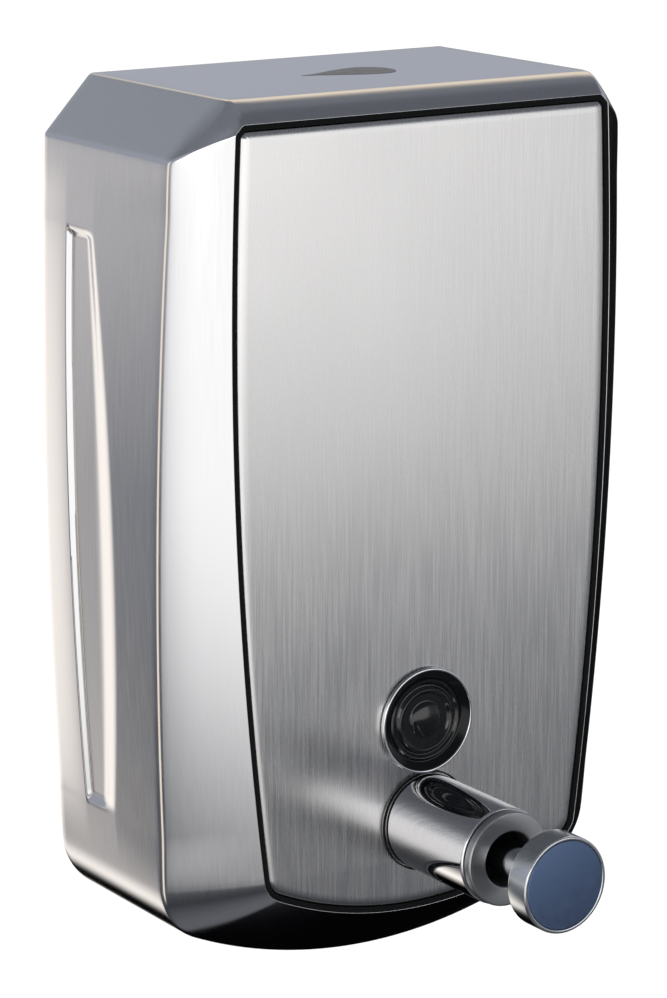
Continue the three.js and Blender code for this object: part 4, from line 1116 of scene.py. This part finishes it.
# ---------- Sight window ----------
@dataclass
class SightWindow:
    """The round level window: a chromed bezel screwed through the panel, with a clear plug in it."""

    shank: float = 10.9
    bore: float = 9.6
    flange: float = 1.1  # thickness of the bezel in front of the panel
    edge_width: float = 0.6  # of the bezel's bright edge
    seat: tuple[float, float] = (0.7, 1.9)  # depth of the liner's seat at its outer and its inner edge
    liner_front: tuple[float, float] = (0.12, 1.2)  # the same of the liner's face
    liner_gap: tuple[float, float] = (0.03, 0.05)  # round the liner and behind it
    plug_radius: float = 9.45
    plug_chamfer: tuple[float, float] = (0.4, 0.3)  # its reach across the plug's face and up from its floor
    plug_floor: float = 1.0  # how far the plug's floor lies behind the top of its dome
    ring: float = 7.0  # radius of the plug's ring
    ring_half: float = 0.9  # half its width
    ring_height: float = 0.75
    dome: float = 4.2
    border: tuple[float, float, float] = (8.2, 0.7, 0.55)  # radius, width and height of the plug's border

    def __post_init__(self) -> None:
        """Reads its place from the frame."""
        low, high = node_box("sight_bezel")
        self.z = (low[2] + high[2]) / 2
        self.radius = high[0]
        self.face, self.rear = -low[1], -high[1]
        plug_low, plug_high = node_box("sight_plug")
        self.plug_front, self.plug_rear = -plug_low[1], -plug_high[1]
        self.shoulder = self.face - self.flange

    def hole(self) -> tuple[float, float]:
        """Radius and height of the hole it needs."""
        return self.shank + TOUCH, self.z

    def build_bezel(self) -> Object:
        """Turns the bezel: a narrow bright edge, and inside it a seat for the liner."""
        seat = self.radius - self.edge_width
        corners = [(self.bore, self.rear), (self.shank, self.rear), (self.shank, self.shoulder)]
        corners += [(self.radius, self.shoulder), (self.radius, self.face), (seat, self.face)]
        corners += [(seat, self.face - self.seat[0]), (self.bore, self.face - self.seat[1])]
        section = eased(corners, ease=0.3, steps=6)
        return TurnedPiece("sight_ring", section, self.z, CHROME_PLATE, "chrome", "sight_bezel").build()

    def build_liner(self) -> Object:
        """Turns the black liner, a cone from the bezel's edge down to the plug."""
        beside, behind = self.liner_gap
        seat = self.radius - self.edge_width - beside
        outer, inner = (self.face - depth for depth in self.liner_front)
        corners = [(self.bore, self.face - self.seat[1] + behind), (seat, self.face - self.seat[0] + behind)]
        corners += [(seat, outer), (self.bore + TOUCH, inner), (self.bore, inner)]
        section = eased(corners, ease=0.25)
        return TurnedPiece("sight_liner", section, self.z, GLOSS_BLACK, "black_plastic").build()

    def build_plug(self) -> Object:
        """Turns the clear plug.

        Its front is a level floor with a rounded ring, whose height is a cosine bell, a dome, whose height is
        the root of one less the square of the radius, and a raised border.
        """
        edge, (inset, lift) = self.plug_radius, self.plug_chamfer
        radius = np.linspace(0.0, edge - inset, 70)
        floor = self.plug_front - self.plug_floor
        apart = (radius - self.ring) / self.ring_half
        ring = self.ring_height * np.clip(np.cos(apart * np.pi / 2), 0, 1) * (np.abs(apart) < 1)
        dome = np.sqrt(np.clip(1 - (radius / self.dome) ** 2, 0, 1)) * self.plug_floor
        start, reach, height = self.border
        border = height * smooth((radius - start) / reach)
        front = np.stack([radius, floor + np.maximum(np.maximum(ring, dome), border)], axis=-1)
        rear = [(edge, floor + lift), (edge, self.plug_rear), (0.0, self.plug_rear)]
        section = np.concatenate([front, np.array(rear)])
        return TurnedPiece(
            "sight_lens", section, self.z, SMOKED_ACRYLIC, "clear_plastic", "sight_plug"
        ).build()


# ---------- Push pump ----------
@dataclass
class PushPump:
    """The push pump: chromed barrel, end ring, rod and button."""

    shank: float = 8.0
    bore: float = 6.7
    counterbore: float = 9.0
    counterbore_depth: float = 11.3
    outlet_radius: float = 2.2
    outlet_depth: float = 82.3  # of its middle, in front of the wall
    outlet_sink: float = 2.0  # how deep the outlet goes in
    outlet_wall: float = 0.6  # width over which it does
    ring_hole: float = 6.3
    rod_stub: float = 2.4
    # The black ring at the barrel's foot also stands in for the shade in that joint: painted shade.
    shade_washer_width: float = 0.6
    button_rim: float = 0.9
    button_disc: float = 0.5  # thickness of the disc in the button's face
    disc_drop: float = 0.02  # how far it lies below the rim
    disc_gap: float = 0.04  # round it and behind it
    socket: tuple[float, float] = (4.0, 2.4)  # radius and depth of the button's socket for the rod

    def __post_init__(self) -> None:
        """Reads its place from the frame."""
        low, high = node_box("pump_barrel")
        self.z = (low[2] + high[2]) / 2
        self.radius = high[0]
        self.front, self.rear = -low[1], -high[1]
        self.shoulder = node_front("front_panel") + TOUCH

    def hole(self) -> tuple[float, float]:
        """Radius and height of the hole it needs."""
        return self.shank + TOUCH, self.z

    def build_barrel(self) -> Object:
        """Turns the barrel and sinks the outlet into its underside.

        The outer wall is a fine grid, and a point nearer to the outlet's centre than its radius is drawn in
        towards the axis.
        """
        floor = self.front - self.counterbore_depth
        corners = [(self.bore, self.rear), (self.shank, self.rear), (self.shank, self.shoulder)]
        corners += [(self.radius, self.shoulder), (self.radius, self.front), (self.counterbore, self.front)]
        corners += [(self.counterbore, floor), (self.bore, floor)]
        profile = eased(corners, ease=0.45, steps=6)
        near, end = 0.05, 0.5  # tolerance of the radius, and length of the wall's ends that stay coarse
        fine_steps, turn_steps = 110, 220  # points of the wall along the axis and round it
        outer = (profile[:, 0] > self.radius - near) & (profile[:, 1] < self.shoulder + 2 * end)
        last = np.flatnonzero(outer)[-1]
        run = np.linspace(profile[last, 1], self.front - end, fine_steps)[1:-1]
        fine = np.stack([np.full_like(run, self.radius), run], axis=-1)
        profile = np.concatenate([profile[: last + 1], fine, profile[last + 1 :]])
        grid = turned(profile, Axis.OUT, 0.0, turn_steps)
        apart = np.hypot(grid[..., 0], -grid[..., 1] - self.outlet_depth)
        under = (grid[..., 2] < 0) & (np.hypot(grid[..., 0], grid[..., 2]) > self.radius - near)
        wall = self.outlet_wall
        sunk = self.outlet_sink * smooth((self.outlet_radius + wall / 2 - apart) / wall) * under
        share = 1 - sunk / self.radius
        grid[..., 0] *= share
        grid[..., 2] = grid[..., 2] * share + self.z
        return TurnedPiece("pump_sleeve", profile, self.z, CHROME_PLATE, "chrome", "pump_barrel").build(grid)

    def build_washer_and_foot_shade(self) -> Object:
        """Turns the black rubber ring round the foot of the barrel, which also paints the shade in the joint
        with the panel.
        """
        inner, outer = self.radius + TOUCH, self.radius + self.shade_washer_width
        rear, front = self.shoulder, self.shoulder + self.shade_washer_width
        section = eased([(inner, rear), (outer, rear), (outer, front), (inner, front)], ease=0.2)
        return TurnedPiece("sleeve_washer_and_foot_shade", section, self.z, NITRILE, "rubber").build()

    def build_ring(self) -> Object:
        """Turns the ring that closes the barrel's front."""
        low, high = node_box("barrel_end_ring")
        front, rear, radius = -low[1], -high[1], high[0]
        spigot, shoulder = self.counterbore - TOUCH, self.front + TOUCH
        corners = [(self.ring_hole, rear), (spigot, rear), (spigot, shoulder), (radius, shoulder)]
        corners += [(radius, front), (self.ring_hole, front)]
        section = eased(corners, ease=0.5, steps=6)
        return TurnedPiece(
            "sleeve_end_ring", section, self.z, GREY_ZINC, "satin_zinc", "barrel_end_ring"
        ).build()

    def build_rod(self) -> Object:
        """Turns the rod with the thinner stub that carries the piston."""
        low, high = node_box("plunger_rod")
        shoulder = node_front("piston") + TOUCH
        front, rear, radius = -low[1], -high[1], high[0]
        corners = [(0.0, rear), (self.rod_stub, rear), (self.rod_stub, shoulder), (radius, shoulder)]
        corners += [(radius, front), (0.0, front)]
        section = eased(corners, ease=0.3)
        return TurnedPiece(
            "chromed_rod", section, self.z, CHROME_PLATE, "chrome", "plunger_rod", "plunger"
        ).build()

    def build_button_face(self) -> Object:
        """Turns the thin disc let into the button's face."""
        low, high = node_box("push_button")
        radius = high[0] - self.button_rim
        front, rear = -low[1] - self.disc_drop, -low[1] - self.button_disc
        section = eased([(0.0, rear), (radius, rear), (radius, front), (0.0, front)], ease=0.2)
        return TurnedPiece("button_disc", section, self.z, SLATE_ZINC, "satin_zinc", body="plunger").build()

    def build_button(self) -> Object:
        """Turns the button: a cap with a rounded edge and a shallow seat for its disc."""
        low, high = node_box("push_button")
        front, rear, radius = -low[1], -high[1], high[0]
        socket, socket_depth = self.socket
        seat, floor = radius - self.button_rim + self.disc_gap, front - self.button_disc - self.disc_gap
        corners = [(socket, rear), (radius, rear), (radius, front), (seat, front), (seat, floor)]
        corners += [(0.0, floor), (0.0, rear + socket_depth), (socket, rear + socket_depth)]
        section = eased(corners, ease=0.6, steps=7)
        return TurnedPiece(
            "button_cap", section, self.z, SATIN_CHROME, "satin_zinc", "push_button", "plunger"
        ).build()


# ---------- Lock ----------
@dataclass
class KeyLock:
    """The cam lock in the underside."""

    barrel: float = 7.5
    bore: float = 5.3

    def build_body(self) -> Object:
        """Turns the lock's body with its rounded head."""
        low, high = node_box("lock_body")
        head, axis_depth, foot, top = high[0], -(low[1] + high[1]) / 2, low[2], high[2]
        shoulder = node_box("housing_shell")[0][2] - TOUCH
        corners = [(self.bore, foot), (head, foot), (head, shoulder), (self.barrel, shoulder)]
        corners += [(self.barrel, top), (self.bore, top)]
        section = eased(corners, ease=0.5, steps=6)
        return TurnedPiece(
            "lock_case", section, axis_depth, CHROME_PLATE, "chrome", "lock_body", axis=Axis.UP
        ).build()


# ---------- Parts of the frame that are shown as they are ----------
FRAME_FINISHES: tuple[tuple[Finish, tuple[str, ...]], ...] = (
    (ZINCED_STEEL, ("wall_plate", "hanger_plate", "lock_nut", "lock_cam", "cam_screw")),
    (ZINCED_STEEL, tuple(f"hanger_screw_{number}" for number in (1, 2, 3, 4))),
    (TANK_POLYETHYLENE, ("tank",)),
    (BLACK_ABS, ("fill_cap", "sight_nut")),
    (NITRILE, ("fill_gasket", "sight_spacer", "sight_gasket", "pump_spacer", "pump_gasket")),
    (NITRILE, ("rod_seal", "piston_seal", "outlet_duckbill")),
    (PUMP_ACETAL, ("pump_cylinder", "inlet_valve_body", "piston")),
    (TURNED_BRASS, ("pump_nut", "lock_plug")),
    (CLEAR_TUBE, ("suction_tube",)),
    (BALL_STEEL, ("inlet_ball",)),
    (SPRING_WIRE, ("return_spring",)),
)


def dress_frame() -> None:
    """Gives every frame part that stays in view its finish."""
    for finish, names in FRAME_FINISHES:
        for name in names:
            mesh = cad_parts[name].data
            mesh.materials.clear()
            mesh.materials.append(finish.material())
            log.info("dressed %s in %s", name, finish.name)


# ---------- Studio ----------
WHITE = linear("#ffffff")


@dataclass(frozen=True)
class Screen:
    """A soft-edged screen of the studio, as it shows in the metal. Angles are in degrees.

    Its bearing is 0 straight in front of the dispenser and grows to the right.
    """

    bearing: float
    half_width: float
    low: float
    high: float
    side_blur: float
    level_blur: float
    colour: str
    gain: float = 1.0

    def lay_over(self, tree: Tree, under: Socket, bearing: Socket, height: Socket) -> Socket:
        """Mixes the screen over the room's colour.

        It shows where the cosine of the angle to its bearing and the height are inside its edges, each eased
        over its blur.

        Args:
            tree: the world's tree.
            under: the colour so far.
            bearing: level direction of the ray, of length 1.
            height: height of the ray's direction.

        Returns:
            The new colour.
        """
        turn = np.radians(self.bearing)
        apart = add_node(
            tree,
            "ShaderNodeVectorMath",
            {"operation": "DOT_PRODUCT"},
            {0: bearing, 1: (float(np.sin(turn)), float(-np.cos(turn)), 0.0)},
        ).outputs["Value"]
        narrow = max(self.half_width - self.side_blur, 0.0)
        widths = np.cos(np.radians([self.half_width + self.side_blur, narrow]))
        lows = np.sin(np.radians([self.low - self.level_blur, self.low + self.level_blur]))
        highs = np.sin(np.radians([self.high + self.level_blur, self.high - self.level_blur]))
        share = None
        for value, (shut, open_) in ((apart, widths), (height, lows), (height, highs)):
            step = add_node(
                tree,
                "ShaderNodeMapRange",
                {"interpolation_type": "SMOOTHSTEP"},
                {"Value": value, "From Min": float(shut), "From Max": float(open_)},
            ).outputs["Result"]
            if share is not None:
                step = add_node(
                    tree, "ShaderNodeMath", {"operation": "MULTIPLY"}, {0: share, 1: step}
                ).outputs[0]
            share = step
        return add_node(
            tree,
            "ShaderNodeMix",
            {"data_type": "RGBA"},
            {"Factor": share, "A": under, "B": tuple(self.gain * part for part in linear(self.colour))},
        ).outputs["Result"]


# The room's shade straight below and straight above.
NADIR_SHADE, ZENITH_SHADE = "#5c5e62", "#6a6d74"
# Its shade at each height between, in degrees above the horizon.
ROOM_SHADES = (
    (-50.0, "#34363a"),
    (-30.0, "#4c4e52"),
    (-22.0, "#505257"),
    (-13.0, "#6c6f75"),
    (-6.0, "#a2a1a3"),
    (0.0, "#8c8f96"),
    (13.5, "#9195a0"),
    (24.0, "#8c9098"),
    (34.0, "#7d8188"),
    (45.0, "#676a71"),
)
SCREENS = (
    Screen(-182.0, 24.0, -40.0, 2.0, 12.0, 4.0, "#f6efe8"),  # warm white, behind
    Screen(-109.0, 6.0, -40.0, 20.0, 4.0, 6.0, "#f6ead9"),  # warm strip, left and a little behind
    Screen(-39.0, 37.0, -25.5, 8.0, 14.0, 9.5, "#fdfcfb"),  # white, left in front
    Screen(8.0, 28.5, -13.0, 8.0, 6.0, 1.4, "#ffffff", 1.2),  # white, in front, low
    Screen(6.0, 26.0, -14.0, -9.0, 4.5, 1.4, "#ffffff", 1.1),  # its lower part, ending sooner on the right
    Screen(20.0, 60.0, 12.0, 60.0, 20.0, 6.0, "#54575e"),  # dim, above the front
    Screen(141.0, 28.0, 26.0, 46.0, 10.0, 9.0, "#e0d2be"),  # warm, behind on the right, high
    Screen(124.0, 27.0, -30.0, 0.0, 8.0, 6.0, "#060709"),  # black, right
    Screen(140.0, 44.0, -80.0, -26.0, 10.0, 4.0, "#020203"),  # black, low behind on the right
)


@dataclass
class Studio:
    """Floor, sky, lamp and camera. Places and lengths are in millimetres."""

    floor_z: float = -330.0
    floor_reach: float = 6000.0
    camera_place: tuple[float, float, float] = (-450.71, -709.60, 197.53)
    camera_view: tuple[float, float, float] = (0.53606, 0.81102, -0.23428)
    lens: float = 130.88
    sensor: float = 36.0
    mirrored_strength: float = 1.6  # of the room as the metal shows it
    soft_strength: float = 1.2  # of the even light on all else
    lamp_place: tuple[float, float, float] = (-1500.0, -900.0, 400.0)
    lamp_size: float = 700.0
    lamp_watts: float = 4.0

    def build_floor(self) -> None:
        """Lays a wide flat floor below the dispenser."""
        corners = np.array([(-1.0, -1.0), (1.0, -1.0), (1.0, 1.0), (-1.0, 1.0)]) * self.floor_reach
        points = np.column_stack([corners, np.full(4, self.floor_z)]) * MM
        mesh = bpy.data.meshes.new("studio_floor")
        mesh.from_pydata(points.tolist(), [], [[0, 1, 2, 3]])
        mesh.materials.append(STUDIO_PAINT.material())
        floor = bpy.data.objects.new("studio_floor", mesh)
        bpy.context.scene.collection.objects.link(floor)
        floor.visible_glossy = False

    def base_colour(self, tree: Tree, height: Socket) -> Socket:
        """Gives the room's colour by height alone: dark below, grey about the horizon, dim above."""
        limits = {"Value": height, "From Min": -1.0, "From Max": 1.0}
        share = add_node(tree, "ShaderNodeMapRange", inputs=limits).outputs["Result"]
        shades = add_node(tree, "ShaderNodeValToRGB", inputs={0: share})
        ramp = shades.color_ramp
        ramp.elements[0].color, ramp.elements[1].color = linear(NADIR_SHADE), linear(ZENITH_SHADE)
        for angle, shade in ROOM_SHADES:
            ramp.elements.new((np.sin(np.radians(angle)) + 1) / 2).color = linear(shade)
        return shades.outputs["Color"]

    def build_sky(self) -> None:
        """Makes the surrounding light: soft white, and for reflections a room that is dark low down."""
        world = bpy.data.worlds.new("studio_room")
        bpy.context.scene.world = world
        world.use_nodes = True
        tree = world.node_tree
        tree.nodes.clear()
        direction = add_node(tree, "ShaderNodeTexCoord").outputs["Generated"]
        height = add_node(tree, "ShaderNodeSeparateXYZ", inputs={0: direction}).outputs["Z"]
        flat = {0: direction, 1: (1.0, 1.0, 0.0)}
        level = add_node(tree, "ShaderNodeVectorMath", {"operation": "MULTIPLY"}, flat)
        bearing = add_node(tree, "ShaderNodeVectorMath", {"operation": "NORMALIZE"}, {0: level.outputs[0]})
        colour = self.base_colour(tree, height)
        for screen in SCREENS:
            colour = screen.lay_over(tree, colour, bearing.outputs[0], height)
        lights = [
            add_node(tree, "ShaderNodeBackground", inputs={"Color": light, "Strength": strength}).outputs[0]
            for light, strength in ((colour, self.mirrored_strength), (WHITE, self.soft_strength))
        ]
        glossy = add_node(tree, "ShaderNodeLightPath").outputs["Is Glossy Ray"]
        chosen = add_node(tree, "ShaderNodeMixShader", inputs={0: glossy, 1: lights[1], 2: lights[0]})
        add_node(tree, "ShaderNodeOutputWorld", inputs={"Surface": chosen.outputs[0]})

    def build_lamp(self) -> None:
        """Hangs a square soft light on the left that faces the dispenser."""
        data = bpy.data.lights.new("left_softbox", "AREA")
        data.shape = "RECTANGLE"
        data.size = data.size_y = self.lamp_size * MM
        data.energy = self.lamp_watts
        data.color = WHITE[:3]
        lamp = bpy.data.objects.new("left_softbox", data)
        place = Vector(self.lamp_place)
        lamp.location = place * MM
        lamp.rotation_euler = (-place).to_track_quat("-Z", "Z").to_euler()
        bpy.context.scene.collection.objects.link(lamp)

    def build_camera(self) -> None:
        """Places the camera."""
        data = bpy.data.cameras.new("camera")
        data.lens, data.sensor_width = self.lens, self.sensor
        camera = bpy.data.objects.new("camera", data)
        camera.location = Vector(self.camera_place) * MM
        camera.rotation_euler = Vector(self.camera_view).to_track_quat("-Z", "Y").to_euler()
        bpy.context.scene.collection.objects.link(camera)
        bpy.context.scene.camera = camera
        bpy.context.scene.view_settings.view_transform = "Standard"


def main() -> None:
    """Builds the dispenser and its studio, and reports each piece."""
    logging.basicConfig(level=logging.INFO, format="%(message)s")
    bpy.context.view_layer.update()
    window, pump = SightWindow(), PushPump()
    housing = Housing(holes=(window.hole(), pump.hole()))
    for build in (
        housing.build_shell,
        housing.build_panel,
        housing.build_seal_and_seam_shade,
        housing.build_mark,
        window.build_bezel,
        window.build_liner,
        window.build_plug,
        pump.build_barrel,
        pump.build_washer_and_foot_shade,
        pump.build_ring,
        pump.build_rod,
        pump.build_button,
        pump.build_button_face,
        KeyLock().build_body,
    ):
        made = build()
        log.info("made %s: %d faces", made.name, len(made.data.polygons))
    dress_frame()
    studio = Studio()
    studio.build_floor()
    studio.build_sky()
    studio.build_lamp()
    studio.build_camera()


if __name__ == "__main__":
    main()
